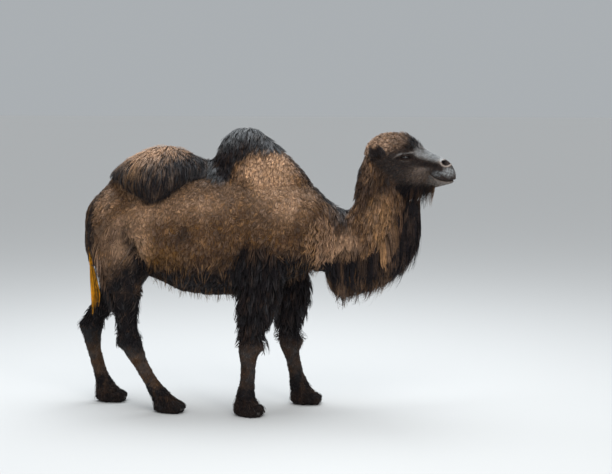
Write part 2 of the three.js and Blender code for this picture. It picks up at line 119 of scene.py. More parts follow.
# For each kind of coat its depth over the skin, the length of its tufts and half their width, in metres, and
# how far they turn from the lie of the coat, in radians.
COAT = {
    "trunk": (0.014, 0.034, 0.0037, 0.5),
    "neck": (0.018, 0.085, 0.0034, 0.22),
    "hump_front": (0.014, 0.085, 0.0038, 0.18),
    "hump_rear": (0.016, 0.120, 0.0038, 0.12),
    "head": (0.006, 0.015, 0.0015, 0.35),
    "jaw": (0.006, 0.015, 0.0015, 0.3),
    "ear": (0.005, 0.036, 0.0019, 0.3),
    "forearm": (0.022, 0.085, 0.0038, 0.25),
    "fore_cannon": (-0.004, 0.017, 0.0020, 0.30),
    "fore_foot": (0.005, 0.017, 0.0019, 0.50),
    "thigh": (0.012, 0.036, 0.0037, 0.4),
    "hind_cannon": (-0.001, 0.017, 0.0020, 0.30),
    "hind_foot": (0.005, 0.017, 0.0019, 0.50),
    "dock": (0.008, 0.070, 0.0034, 0.2),
}
DEPTHS, LENGTHS, HALF_WIDTHS, TURNS = np.array([COAT[name] for name in KIND_NAMES]).T.copy()
# Grain, relief and sheen of the hair materials.
HAIR_LOOKS = {
    "wool": (120.0, 0.001, 0.03),
    "long_hair": (90.0, 0.0008, 0.03),
    "short_fur": (260.0, 0.0006, 0.03),
}
HAIR_COLOURS = ("Brown", "Tan", "Dark", "Gold", "Grey")
# Steps of the fine lines across a tuft, and from one tuft's lines to the next one's.
HAIRS_ACROSS, HAIRS_APART = 7.0, 97.0
# Two layers of the mane's locks: share of a piece's triangles, length, how far tips pass the lower edge, how
# seldom they do, least and most half width, tufts in a lock, and how much paler the lowest tips are.
MANE_LOCKS = (
    (0.50, 0.13, 0.060, 2.0, (0.0020, 0.0038), 10, 0.06),
    (0.17, 0.19, 0.120, 0.45, (0.0010, 0.0019), 6, 0.20),
)
# Crimped hair: from bend to bend, how far it bends, and from ridge to ridge.
BEND_STEP, BEND_REACH, RIDGE_STEP = 0.062, 0.0090, 0.026


def spot(node, along, up):
    """Place seen from the side, as shares of a node's box along and up."""
    low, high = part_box(node)
    return low.x + (high.x - low.x) * along, low.z + (high.z - low.z) * up


def route(node, *shares):
    """A line seen from the side, through places on a node's box."""
    return [spot(node, along, up) for along, up in shares]


def height_on(line, along):
    """Height of a line seen from the side at each place along."""
    return np.interp(along, *zip(*line))


def middle(node):
    """The middle of a node's box."""
    low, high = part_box(node)
    return np.array((low + high) / 2)


# Places on the body that features and markings are set out from.
EYE_AT = middle("eye_left")
EYE_RADIUS = float(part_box("eye_left")[1].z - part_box("eye_left")[0].z) / 2
EAR_AT = middle("ear_left")
NOSTRIL_AT = (spot("head", 0.886, 0.482)[0], 0.058, spot("head", 0.886, 0.482)[1])
CHEEK = spot("head", 0.578, 0.294)
TEAR_END = spot("head", 0.783, 0.42)
BRIDGE = route("head", (0.60, 0.66), (0.83, 0.56))
BEARD_UNDER = spot("jaw", 0.5, 0.62)[1]
BELLY = spot("trunk", 0.5, 0.0)[1]
NECK_SIDE = spot("neck", 0.679, 0.507)
NECK_BASE = spot("neck", 0.212, 0.488)
RIPPLES = spot("neck", 0.024, 0.32)
FRONT_HUMP_SIDE = spot("hump_front", 0.614, 0.289)
HUMP_STREAK = spot("hump_rear", 0.33, 0.58)
CREST_EDGE = route("hump_front", (0.0, 0.06), (0.235, 0.07), (0.262, 0.20), (0.29, 0.40), (0.362, 0.54),
                   (0.474, 0.63), (0.615, 0.65), (0.72, 0.62), (0.78, 1.2))
SLACK_EDGE = route("hump_rear", (0.0, 0.72), (0.135, 0.77), (0.374, 0.68), (0.529, 0.76), (0.81, 0.94),
                   (1.0, 1.0))
FRINGE = route("hump_rear", (0.03, 0.48), (0.12, 0.43), (0.24, 0.28), (0.385, 0.15), (0.50, 0.07),
               (0.63, 0.15), (0.77, 0.34), (0.93, 0.48))
FLANK_FOLD = route("trunk", (0.202, 0.595), (0.204, 0.522), (0.220, 0.413), (0.246, 0.328), (0.279, 0.244),
                   (0.300, 0.180))
ELBOW_FOLD = route("trunk", (0.721, 0.512), (0.705, 0.428), (0.679, 0.343), (0.662, 0.258), (0.658, 0.173))
SHOULDER_CREASE = route("trunk", (0.876, 0.915), (0.908, 0.844), (0.934, 0.748), (0.954, 0.653))
CAP_EDGE = ((0.8, 1.80), (0.98, 1.895), (1.06, 1.885), (1.16, 1.87))
MOUTH = route("head", (0.690, 0.330), (0.728, 0.264), (0.783, 0.203), (0.828, 0.170), (0.897, 0.150),
              (0.978, 0.165))
# Patches on the side of the body, by place and reach on the trunk's box, with the tan and the dark they add.
BODY_PATCHES = {
    "shoulder": (0.832, 0.833, 0.20, 0.33, 0.78, 0.0),
    "shoulder middle": (0.783, 0.66, 0.07, 0.15, 0.0, 0.34),
    "shoulder streak": (0.868, 0.70, 0.035, 0.20, 0.50, -0.1),
    "point of shoulder": (0.872, 0.33, 0.07, 0.12, 0.0, 0.38),
    "ribs": (0.50, 0.735, 0.23, 0.17, 0.54, 0.0),
    "dark rib": (0.450, 0.53, 0.075, 0.10, 0.0, 0.50),
    "loin": (0.29, 0.66, 0.13, 0.13, 0.72, 0.0),
    "flank": (0.257, 0.433, 0.085, 0.25, 0.95, 0.0),
    "hip": (0.187, 0.585, 0.075, 0.12, 0.58, 0.0),
    "rump": (0.090, 0.74, 0.09, 0.18, 0.58, 0.0),
    "saddle": (0.626, 0.86, 0.07, 0.10, 0.42, -0.1),
    "chest": (0.960, 0.27, 0.085, 0.20, 0.0, 0.60),
    "elbow": (0.810, 0.22, 0.170, 0.21, 0.0, 0.42),
    "lower thigh": (0.175, 0.19, 0.075, 0.17, 0.0, 0.50),
    "thigh": (0.162, 0.42, 0.045, 0.18, 0.40, 0.0),
    # The patch before the thigh is painted shadow of the flank's fold.
    "fold shadow before the thigh": (0.236, 0.20, 0.060, 0.22, 0.0, 0.78),
    "stifle": (0.234, 0.08, 0.036, 0.08, 0.0, -0.5),
}
# Patches on the face, on the head's box, with the tan, the dark and the grey they add.
FACE_PATCHES = {
    # The cheek's patch is a painted highlight on the cheekbone.
    "cheek": (0.590, 0.265, 0.190, 0.230, 0.18, -0.30, 0.08),
    "before the cheek": (0.620, 0.345, 0.120, 0.095, 0.10, -0.24, 0.13),
    "under the eye": (0.500, 0.545, 0.070, 0.060, 0.0, -0.25, 0.10),
    "upper lip": (0.810, 0.285, 0.090, 0.065, 0.0, 0.0, 0.60),
    "front of the lip": (0.915, 0.315, 0.100, 0.135, 0.0, -0.1, 0.62),
    "tip of the lip": (0.985, 0.24, 0.045, 0.12, 0.0, -0.20, 0.05),
    "mouth corner": (0.724, 0.225, 0.024, 0.080, 0.0, 0.2, -0.1),
}
# Area lamps: place, width and colour. Their power is a setting of the stage.
LAMPS = {
    "key": ((1.5, -5.0, 6.5), 4.0, (1.0, 0.98, 0.95)),
    "top": ((-0.5, 1.0, 6.0), 5.0, (0.9, 0.95, 1.0)),
    "front": ((4.0, -6.0, 3.4), 1.4, (1.0, 0.99, 0.97)),
}
# The place that the lamps point at, and the camera's, as shares of the solids' length and height.
LIT = Vector((0, 0, 1.2))
AIM = (0.6149, 0.6147)
SENSOR = 36.0


# --- Arrays and smooth steps -----------------------------------


def read(items, name, width=1, kind=np.float32):
    """One property of many Blender items as an array."""
    values = np.empty(len(items) * width, kind)
    items.foreach_get(name, values)
    return values.reshape(-1, width).astype(float if kind == np.float32 else kind)


def unit(vectors):
    """Vectors of the same directions with a length of 1."""
    return vectors / np.maximum(np.linalg.norm(vectors, axis=-1, keepdims=True), 1e-9)


def soft(value, low, high):
    """0 below `low`, 1 above `high`, and smooth between them."""
    t = np.clip((np.asarray(value, float) - low) / (high - low), 0, 1)
    return t * t * (3 - 2 * t)


def fade(value, low, high):
    """1 below `low`, 0 above `high`, and smooth between them."""
    return soft(-np.asarray(value, float), -high, -low)


def bell(value, width):
    """1 at 0, falling off smoothly to both sides over about `width`."""
    return np.exp(-(value / width) ** 2)


def relax(points, edges, weight, rounds, back=0.0):
    """Evens the points out. With `back`, each round swells them again, so that limbs keep their girth."""
    count = len(points)
    degree = np.maximum(np.bincount(edges.ravel(), minlength=count), 1)[:, None]
    start, end = edges.T
    for _ in range(rounds):
        for factor in (EVENING, -back) if back else (EVENING,):
            total = np.stack([
                np.bincount(start, points[end, axis], count) + np.bincount(end, points[start, axis], count)
                for axis in range(points.shape[1])
            ], 1)
            points = points + (total / degree - points) * factor * weight
    return points


def scattered(triangles, rng):
    """A random place on each triangle."""
    a, b = rng.random((2, len(triangles), 1))
    a, b = np.where(a + b > 1, 1 - a, a), np.where(a + b > 1, 1 - b, b)
    first, second, third = (triangles[:, i] for i in range(3))
    return first + (second - first) * a + (third - first) * b


def found(tree, places, *wanted):
    """What a search tree tells of the place on its surface that is nearest to each place."""
    hits = [tree.find_nearest(place) for place in places.tolist()]
    return [np.array([hit[which] for hit in hits]) for which in wanted]


# --- Places on the body ----------------------------------------


def on_side(centre, across):
    """A place seen from the side, set `across` from the middle."""
    return centre[0], across, centre[1]


def blob(points, centre, radii, edge=0.4):
    """1 inside an ellipsoid kept alike on both sides, fading out to its surface."""
    away = np.stack([points[:, 0] - centre[0], np.abs(points[:, 1]) - centre[1], points[:, 2] - centre[2]], 1)
    return 1 - soft(np.linalg.norm(away / np.array(radii), axis=1), edge, 1)


def capsule(points, start, end, radius, edge=0.3):
    """1 near a line seen from the side, fading out to `radius` from it."""
    start, end = np.array(start), np.array(end)
    flat = points[:, [0, 2]]
    share = np.clip(((flat - start) @ (end - start)) / np.dot(end - start, end - start), 0, 1)
    away = np.linalg.norm(flat - start - share[:, None] * (end - start), axis=1)
    return 1 - soft(away / radius, edge, 1)


def box_patch(points, node, along, up, reach_along, reach_up, edge=0.1):
    """1 on a patch of the side, set out by place and reach on a node's box, fading out to its edge."""
    low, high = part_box(node)
    wide, tall = high.x - low.x, high.z - low.z
    away = np.hypot((points[:, 0] - low.x - wide * along) / (wide * reach_along),
                    (points[:, 2] - low.z - tall * up) / (tall * reach_up))
    return 1 - soft(away, edge, 1)


def beside(points, line):
    """How far each point is in front of a line down the side, and 1 where it is level with the line."""
    x, y, z = points.T
    places = sorted(line, key=lambda place: place[1])
    levels = [place[1] for place in places]
    ahead = x - np.interp(z, levels, [place[0] for place in places])
    level = soft(z, levels[0] - 0.03, levels[0] + 0.05) * fade(z, levels[-1] - 0.07, levels[-1] + 0.03)
    return ahead, level * soft(np.abs(y), 0.14, 0.22)


def mottle(points, size):
    """Smooth noise between about -1 and 1, with patches of about `size` metres."""
    p = points * (2 * np.pi / size)
    turned = p @ np.array([[0.8, 0.6, 0.2], [-0.5, 0.8, 0.4], [0.1, -0.4, 0.9]])
    return (np.sin(turned).sum(1) + 0.6 * np.sin(turned[:, [1, 2, 0]] * 2.3 + 1.7 * np.sin(p)).sum(1)) / 3.2


def slack_dark(points):
    """How far the long dark hair of the slack hump covers each point, below its pale crest."""
    streaks = 0.02 * mottle(points * [1, 0, 0], 0.06) + 0.045 * mottle(points * [1, 1, 0.12], 0.034)
    edge = height_on(SLACK_EDGE, points[:, 0]) + streaks
    return soft(edge - points[:, 2], -0.085, 0.050)


# --- Materials -------------------------------------------------


def plug(tree, node, values):
    """Sets a node's sockets to values, or joins them to other sockets."""
    for name, value in values.items():
        if isinstance(value, bpy.types.NodeSocket):
            tree.links.new(value, node.inputs[name])
        else:
            node.inputs[name].default_value = value


def add_node(tree, kind, values=None, **settings):
    """A node with its settings, and its sockets set to values or joined to other sockets."""
    node = tree.nodes.new(kind)
    for name, value in settings.items():
        setattr(node, name, value)
    plug(tree, node, values or {})
    return node


def calculate(tree, operation, first, second):
    """A sum of two values, or another operation on them. Returns the result's socket."""
    return add_node(tree, "ShaderNodeMath", {0: first, 1: second}, operation=operation).outputs[0]


def noise(tree, place, scale, detail):
    """Noise between about 0.3 and 0.7. Returns the result's socket."""
    node = add_node(tree, "ShaderNodeTexNoise", {"Vector": place, "Scale": scale, "Detail": detail})
    return node.outputs["Fac"]


def mix(tree, share, first, second):
    """Two colours mixed by a share. Returns the result's socket."""
    return add_node(tree, "ShaderNodeMix", {0: share, 6: first, 7: second}, data_type="RGBA").outputs[2]


def new_group(name, inputs, outputs):
    """An empty shader group. Inputs and outputs are (name, kind) pairs."""
    tree = bpy.data.node_groups.new(name, "ShaderNodeTree")
    for way, sockets in (("INPUT", inputs), ("OUTPUT", outputs)):
        for socket, kind in sockets:
            tree.interface.new_socket(socket, in_out=way, socket_type="NodeSocket" + kind)
    return tree, tree.nodes.new("NodeGroupInput"), tree.nodes.new("NodeGroupOutput")


def new_material(name):
    """A new material with its tree and its main shader."""
    material = bpy.data.materials.new(name)
    material.use_nodes = True
    return material, material.node_tree, material.node_tree.nodes["Principled BSDF"]


def hair_colour_group():
    """Colour and relief of hair and hide from the markings and the place along a tuft."""
    if "camel_hair_colour" in bpy.data.node_groups:
        return bpy.data.node_groups["camel_hair_colour"]
    tree, source, sink = new_group(
        "camel_hair_colour",
        [("Marks", "Color"), ("Grey Share", "Float"), ("Strand", "Color"), ("Across", "Float"),
         *((title, "Color") for title in HAIR_COLOURS), ("Grain", "Float")],
        [("Color", "Color"), ("Height", "Float"), ("Wet", "Float")],
    )
    put = source.outputs
    marks = add_node(tree, "ShaderNodeSeparateColor", {"Color": put["Marks"]}).outputs
    strand = add_node(tree, "ShaderNodeSeparateColor", {"Color": put["Strand"]}).outputs
    place = add_node(tree, "ShaderNodeTexCoord").outputs["Object"]
    patches = noise(tree, place, 9.0, 4.0)
    clumps = noise(tree, place, 36.0, 2.0)
    grain = noise(tree, place, put["Grain"], 3.0)
    # Fine lines along each tuft, so that it reads as many hairs.
    line = add_node(tree, "ShaderNodeCombineXYZ", {
        0: calculate(tree, "MULTIPLY", put["Across"], HAIRS_ACROSS),
        1: strand["Red"],
        2: calculate(tree, "MULTIPLY", strand["Green"], HAIRS_APART),
    })
    hairs = noise(tree, line.outputs[0], 1.0, 1.0)
    colour = mix(tree, marks["Red"], put["Brown"], put["Tan"])
    colour = mix(tree, marks["Blue"], colour, put["Gold"])
    colour = mix(tree, marks["Green"], colour, put["Dark"])
    colour = mix(tree, put["Grey Share"], colour, put["Grey"])
    # Each tuft has a tone of its own, and painted shade at its root that fades to a paler tip.
    factors = [add_node(tree, "ShaderNodeMapRange", {0: value, 1: low, 2: high, 3: start, 4: end}).outputs[0]
               for value, low, high, start, end in (
                   (strand["Green"], 0.0, 1.0, 0.60, 1.42),
                   (strand["Red"], 0.0, 1.0, 0.35, 1.3),
                   (patches, 0.3, 0.7, 0.80, 1.20),
                   (clumps, 0.3, 0.7, 0.80, 1.20),
                   (grain, 0.3, 0.7, 0.85, 1.15),
                   (hairs, 0.3, 0.7, 0.7, 1.3))]
    shade = factors[0]
    for other in factors[1:]:
        shade = calculate(tree, "MULTIPLY", shade, other)
    shaded = add_node(tree, "ShaderNodeVectorMath", {0: colour, "Scale": shade}, operation="SCALE")
    plug(tree, sink, {
        "Color": shaded.outputs["Vector"],
        "Height": calculate(tree, "ADD", grain, hairs),
        "Wet": add_node(tree, "ShaderNodeMapRange", {0: strand["Blue"], 3: 0.42, 4: 0.72}).outputs[0],
    })
    return tree


def hair_material(name, colours, grain, relief, sheen):
    """Hair or hide that takes its markings from the piece's own attributes."""
    material, tree, shader = new_material(name)
    marks = add_node(tree, "ShaderNodeAttribute", attribute_name="marks").outputs
    strand = add_node(tree, "ShaderNodeAttribute", attribute_name="strand").outputs
    hair = add_node(tree, "ShaderNodeGroup", {
        "Marks": marks["Color"], "Grey Share": marks["Alpha"],
        "Strand": strand["Color"], "Across": strand["Alpha"], "Grain": grain,
        **{title: (*getattr(colours, title.lower()), 1) for title in HAIR_COLOURS},
    }, node_tree=hair_colour_group()).outputs
    bump = add_node(tree, "ShaderNodeBump", {"Height": hair["Height"], "Distance": relief, "Strength": 0.6})
    plug(tree, shader, {
        "Base Color": hair["Color"], "Roughness": hair["Wet"], "Normal": bump.outputs["Normal"],
        "Specular IOR Level": 0.15, "Sheen Weight": sheen, "Sheen Roughness": 0.4,
        "Sheen Tint": (0.86, 0.88, 1.0, 1),
    })
    return material


# --- Markings and the lie of the coat --------------------------


def markings(points, normals, shares):
    """Shares of tan, dark, gold and grey at each point, the same for skin and coat.

    `shares` tells how far each point belongs to each kind of coat.
    """
    def of(*names):
        """How far each point belongs to these kinds."""
        return sum(shares[:, KIND_NAMES.index(name)] for name in names)

    face = of("head", "jaw")
    body = 1 - face - of("ear")
    points = points + ((0.004 + 0.016 * body) * mottle(points, 0.12) * (1 - 0.6 * face))[:, None] * [1, 0, 1]
    x, y, z = points.T
    across = np.abs(y)
    spots = mottle(points, 0.09)
    beside_body = soft(across, 0.05, 0.16)
    tan = 0.10 * of("trunk", "neck") + 0.30 * of("thigh") + 1.0 * of("hump_rear")
    tan += 0.15 * of("fore_cannon", "hind_cannon") * (1 + 0.8 * spots)
    tan += 1.0 * blob(points, on_side(FRONT_HUMP_SIDE, 0.15), (0.26, 0.3, 0.2))
    tan += 0.42 * blob(points, on_side(NECK_SIDE, 0.12), (0.15, 0.2, 0.24), 0.2)
    tan += 0.55 * blob(points, on_side(spot("neck", 0.30, 0.33), 0.12), (0.17, 0.25, 0.13), 0.1)

    dark = of("forearm") * (0.97 - 0.22 * soft(z, 1.0, 1.14)) + of("fore_cannon") * (0.74 + 0.26 * spots)
    dark += of("hind_cannon") * (0.60 + 0.26 * spots + 0.4 * soft(z, 0.36, 0.5)) + 0.9 * of("dock")
    foot_edge = z + 0.05 * mottle(points, 0.07)
    dark += of("fore_foot", "hind_foot", "fore_cannon", "hind_cannon") * (0.88 + 0.12 * spots) * \
        fade(foot_edge, 0.07, 0.25)
    dark += of("thigh") * (soft(-z - 0.05 * spots, -1.14, -0.80) * 1.02 + 0.2 * fade(z, 0.7, 0.8))
    dark += of("trunk", "neck") * (fade(z, BELLY + 0.07, BELLY + 0.34) * 0.97 * fade(x, 0.35, 0.5))
    dark += 0.42 * of("trunk") * fade(z, 1.0, 1.36)
    bulk = of("trunk", "thigh", "forearm")
    for along, up, reach, tall, tan_there, dark_there in BODY_PATCHES.values():
        patch = box_patch(points, "trunk", along, up, reach, tall) * beside_body * bulk
        tan += tan_there * patch
        dark += dark_there * patch
    tan *= body
    # Folds at the flank and the elbow lie in their own shade.
    creases = (FLANK_FOLD, 0.85, 0.036), (ELBOW_FOLD, 0.85, 0.034), (SHOULDER_CREASE, 0.55, 0.014)
    for line, share, width in creases:
        ahead, level = beside(points, line)
        dark += bulk * share * level * bell(ahead + 0.006, width)
    # The crest of the front hump: dark above a line that climbs forwards to the top, then a thin stripe.
    crest = np.clip(of("hump_front") * 1.6, 0, 1) * soft(z - height_on(CREST_EDGE, x), -0.012, 0.018)
    stripe = fade(across, 0.02, 0.06) * soft(x, 0.0, 0.1) * soft(normals[:, 2], 0.1, 0.5)
    dark += crest + 0.75 * stripe * of("hump_front", "trunk", "neck")
    # The slack hump is pale along its crest and dark below, down to its fringe.
    slack = np.clip(of("hump_rear") * 1.8, 0, 1) * soft(z - height_on(FRINGE, x), -0.02, 0.0)
    dark += slack * (slack_dark(points) * 0.97 + 0.05)
    dark += of("trunk") * blob(points, (-0.36, 0.0, 1.74), (0.14, 0.24, 0.11))
    dark += 0.62 * blob(points, on_side(NECK_BASE, 0.08), (0.12, 0.2, 0.10))
    throat = soft(x - (0.93 + 0.2 * (z - 1.2)) + 0.02 * mottle(points, 0.05), -0.05, 0.07) * soft(z, 1.0, 1.2)
    nape = soft(-(x - (0.765 - 0.25 * (z - 1.6))), -0.05, 0.02) * soft(z, 1.46, 1.56)
    upper = blob(points, on_side(spot("neck", 0.70, 0.80), 0.14), (0.13, 0.3, 0.14), 0.1)
    dark += of("neck") * (throat + 0.55 * nape + 0.68 * upper +
                          (0.72 + 0.25 * mottle(points * [1, 1, 0.3], 0.10)) * fade(z, 1.04, 1.24))
    # The rump is dark beside the tail.
    dark += (0.85 * of("trunk", "thigh") * soft(-normals[:, 0], 0.60, 0.88) * soft(-x, 1.0, 1.08) *
             soft(z, 1.0, 1.1))
    dark += 0.5 * of("thigh") * soft(-normals[:, 0], 0.5, 0.8) * fade(z, 1.0, 1.1)
    for leg in FORELEGS:
        low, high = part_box(leg + "_lower")
        side = math.copysign(1, low.y)
        centre = (high.x - 0.03, (abs(low.y) + abs(high.y)) / 2, high.z - 0.03)
        pad = blob(points, centre, (0.045, 0.08, 0.035), 0.1) * of("fore_cannon", "forearm") * (y * side > 0)
        tan += 0.5 * pad
        dark -= 0.55 * pad
    dark *= body

    # The face: dark round the eye, along the tear line and under the jaw, with pale bridge and lips, and a
    # painted highlight on the cheek.
    eye_x, eye_z = EYE_AT[0], EYE_AT[2]
    cap = cap_share(points, shares)
    speckle = mottle(points, 0.020) + 0.6 * mottle(points, 0.009)
    tan += face * (0.13 + cap * (0.30 + 0.52 * fade(x, 0.88, 0.98)))
    dark += face * (0.88 - 0.58 * cap + 0.62 * cap * soft(x, 0.99, 1.09))
    dark -= face * 0.30 * (1 - cap) * blob(points, (0.94, 0.1, 1.88), (0.10, 0.1, 0.05), 0.1)
    grey = 0.03 * face + 0.02 * cap
    # Painted sheen: hair that faces up on the crests, back and neck is painted paler grey, as if lit by the
    # sky.
    painted_sky_sheen = soft(normals[:, 2], 0.35, 0.95) * soft(z, 1.3, 1.5)
    grey = grey + painted_sky_sheen * (0.13 * crest + 0.06 * slack + 0.17 * of("trunk", "neck", "hump_front"))
    grey = grey + 0.05 * of("fore_cannon", "hind_cannon") * np.clip(0.8 + spots, 0, 2) * soft(z, 0.16, 0.26)
    for along, up, reach, tall, tan_there, dark_there, grey_there in FACE_PATCHES.values():
        patch = box_patch(points, "head", along, up, reach, tall) * face
        patch = patch * np.clip(0.85 + 0.45 * speckle, 0, 1.3)
        tan += tan_there * patch
        dark += dark_there * patch
        grey = grey + grey_there * patch
    away = np.min([nostril(points, side) for _, side in SIDES], 0)
    pit, rim = 1 - soft(away, 0.85, 1.05), bell(away - 1.36, 0.30)
    gap, lips = mouth(points)
    line = bell(gap, 1.3) * lips
    bridge = capsule(points, *BRIDGE, 0.050, 0.25) * face * fade(x, 1.26, 1.32)
    bridge *= (0.78 + 0.22 * soft(x, 1.12, 1.2)) * (1 - 0.9 * cap)
    lower_lip = soft(x, 1.13, 1.24) * soft(-gap, 0.0, 2.0) * face
    fold = capsule(points, spot("head", 0.80, 0.305), spot("head", 0.90, 0.175), 0.010, 0.1) * face
    # The pale lines along the eyes' folds are painted highlights.
    folds = np.max([lid_fold_highlights(points, side) for _, side in SIDES], 0) * face
    grey = np.maximum.reduce([np.clip(grey, 0, 1), 0.98 * bridge, lower_lip * 0.34, 0.52 * rim, 0.56 * folds])
    grey *= 0.88 + 0.22 * speckle
    tan += 0.06 * lower_lip + 0.6 * rim
    tear = [(eye_x - 0.050, eye_z - 0.004), (eye_x + 0.070, eye_z - 0.012), spot("head", 0.63, 0.455),
            TEAR_END, spot("head", 0.835, 0.365)]
    band = np.max([capsule(points, start, end, radius, 0.25)
                   for start, end, radius in zip(tear, tear[1:], (0.026, 0.026, 0.024, 0.021))], 0) * face
    dark = dark * (1 - 0.8 * np.maximum(rim, lower_lip)) * (1 - 0.9 * bridge) * (1 - 0.75 * folds)
    dark = dark + 0.58 * lower_lip
    # Painted shade: the nostrils' pits, the line of the mouth and the lip's fold are painted dark in their
    # hollows, together with the tear band.
    shade = np.maximum.reduce([pit, line, 0.8 * fold, 0.92 * band * (1 - folds) * (1 - rim)])
    dark = np.maximum(dark, shade)
    grey = grey * (1 - shade)

    ear = np.clip(of("ear") * 1.5, 0, 1)
    inner = blob(points, EAR_AT + np.array([-0.012, 0.004, 0.032]), (0.044, 0.052, 0.044), 0.2)
    dark = dark * (1 - ear) + ear * (0.96 - 0.86 * inner)
    tan = tan * (1 - ear) + ear * 0.9 * inner

    gold = 0.42 * blob(points, on_side(HUMP_STREAK, 0.24), (0.10, 0.3, 0.13), 0.1) * slack
    gold += 0.15 * blob(points, on_side(NECK_SIDE, 0.12), (0.15, 0.2, 0.24), 0.2)
    gold += 0.16 * box_patch(points, "trunk", 0.33, 0.28, 0.20, 0.25) * of("trunk")
    gold += 0.05 * of("hump_front", "trunk", "hind_cannon") * body + 0.35 * lower_lip
    return np.clip(np.stack([tan, dark, gold, grey], 1), 0, 1)


def lid_fold_highlights(points, side):
    """Painted highlights: the pale lines along the folds over and under an eye."""
    u, v, w = eye_view(points, side)
    over = bell(v - brow_fold(u), 0.0062) * fade(np.abs(u), 0.05, 0.085)
    under = 0.34 * bell(v + 0.0270 - 7 * u ** 2, 0.0080) * fade(np.abs(u), 0.02, 0.045)
    return np.maximum(over, under) * (w > 0)


def brow_fold(u):
    """Height of the pale fold over the eye, from its rear corner to the bridge of the nose."""
    return 0.0285 - 6.5 * np.minimum(u + 0.012, 0) ** 2 + 0.05 * np.maximum(u, 0)


def lie_of_coat(points, normals, kind):
    """The way that hair lies at each point, along the skin."""
    y = points[:, 1]
    wanted = np.zeros_like(points)
    parting = np.clip(y / 0.06, -1, 1)
    ear = points - EAR_AT * np.stack([np.ones(len(y)), np.sign(y), np.ones(len(y))], 1) + [-0.01, 0, 0.04]
    ways = {
        ("trunk", "thigh"): (-0.25, 0.5 * parting, -1),
        ("neck",): (-0.12, 0.3 * parting, -1),
        ("hump_front",): (-0.10, 0.7 * parting, -1),
        ("hump_rear",): (-0.10, 0.8 * parting, -1),
        ("head", "jaw"): (-1, 0, -0.35),
        ("ear",): (ear * 16 + [-0.35, 0, 0.6]).T,
        ("forearm", "fore_cannon", "hind_cannon", "dock"): (-0.10, 0, -1),
        ("fore_foot", "hind_foot"): (0.4, 0, -1),
    }
    for names, way in ways.items():
        chosen = np.isin(kind, [KIND_NAMES.index(name) for name in names])
        for axis, value in enumerate(way):
            wanted[chosen, axis] = np.broadcast_to(value, len(y))[chosen]
    along = wanted - normals * np.sum(wanted * normals, 1, keepdims=True)
    return unit(along + 1e-4)


# --- Objects and meshes ----------------------------------------


def new_object(name, mesh):
    """An object in the scene for a mesh."""
    piece = bpy.data.objects.new(name, mesh)
    bpy.context.scene.collection.objects.link(piece)
    return piece


def add_piece(name, mesh, material, replaces=()):
    """A smooth piece of the model on its body and the nodes that it stands in for."""
    mesh.shade_smooth()
    mesh.materials.append(material)
    piece = new_object(name, mesh)
    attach(piece, "root")
    if replaces:
        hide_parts(*replaces)


def mesh_of(shape, name):
    """A mesh with this name from a shape that isn't needed any more."""
    mesh = bpy.data.meshes.new(name)
    shape.to_mesh(mesh)
    shape.free()
    return mesh


def move_to(mesh, points):
    """Sets the places of a mesh's points."""
    mesh.vertices.foreach_set("co", points.astype(np.float32).ravel())
    mesh.update()


def set_attribute(mesh, name, kind, values):
    """Gives each point of a mesh a value of this kind."""
    layer = mesh.attributes.new(name, kind, "POINT")
    field = {"FLOAT": "value", "INT": "value", "FLOAT_VECTOR": "vector", "FLOAT_COLOR": "color"}[kind]
    number = np.int32 if kind == "INT" else np.float32
    layer.data.foreach_set(field, np.ascontiguousarray(values, number).ravel())


def merged_solid(name, grow, filled=False):
    """A merged copy of a node's mesh, a little larger, and with its hollow filled if wanted."""
    solid = bmesh.new()
    solid.from_mesh(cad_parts[name].data)
    bmesh.ops.remove_doubles(solid, verts=solid.verts, dist=1e-5)
    if filled:
        bmesh.ops.convex_hull(solid, input=solid.verts)
        bmesh.ops.recalc_face_normals(solid, faces=solid.faces)
    solid.normal_update()
    for vertex, normal in [(vertex, vertex.normal.copy()) for vertex in solid.verts]:
        vertex.co += normal * grow
    return solid


def baked(piece):
    """The piece's mesh with its modifiers applied."""
    graph = bpy.context.evaluated_depsgraph_get()
    mesh = bpy.data.meshes.new_from_object(piece.evaluated_get(graph))
    bpy.data.objects.remove(piece)
    return mesh


# --- Skin ------------------------------------------------------


def flesh_shell(voxel):
    """One closed shell over all the flesh."""
    joined = bmesh.new()
    for name in FLESH:
        mesh = mesh_of(merged_solid(name, 0.0008, filled=name.startswith("ear")), "part")
        joined.from_mesh(mesh)
        bpy.data.meshes.remove(mesh)
    piece = new_object("flesh", mesh_of(joined, "flesh"))
    remesh = piece.modifiers.new("shell", "REMESH")
    remesh.mode = "VOXEL"
    remesh.voxel_size = voxel
    return baked(piece)


def refine(mesh, wanted, rounds):
    """Divides the faces whose points are all wanted, again in each round."""
    shell = bmesh.new()
    shell.from_mesh(mesh)
    for turn in range(rounds):
        edges = [edge for edge in shell.edges if all(wanted(vertex.co, turn) for vertex in edge.verts)]
        bmesh.ops.subdivide_edges(shell, edges=edges, cuts=1, use_grid_fill=True)
    bmesh.ops.triangulate(shell, faces=[face for face in shell.faces if len(face.verts) > 4])
    shell.to_mesh(mesh)
    shell.free()


def finer(place, turn):
    """Where the shell is divided finer: head and feet first, then the muzzle and eyes, and last the lids."""
    eye = Vector((EYE_AT[0] + 0.014, math.copysign(EYE_AT[1], place.y), EYE_AT[2]))
    nose = Vector((NOSTRIL_AT[0], math.copysign(NOSTRIL_AT[1], place.y), NOSTRIL_AT[2]))
    if turn == 0:
        return (place.x > 0.74 and place.z > 1.56) or place.z < 0.16
    if turn == 1:
        muzzle = place.x > 1.12 and place.z > 1.59
        ear = abs(place.y) > 0.085 and place.z > 1.78 and place.x < 0.9
        return muzzle or ear or (place - eye).length < 0.100
    if turn == 2:
        return (place - eye).length < 0.056 or (place - nose).length < 0.045
    return abs(place.z - eye.z) < 0.016 and abs(place.x - eye.x) < 0.042 and abs(place.y) > 0.06


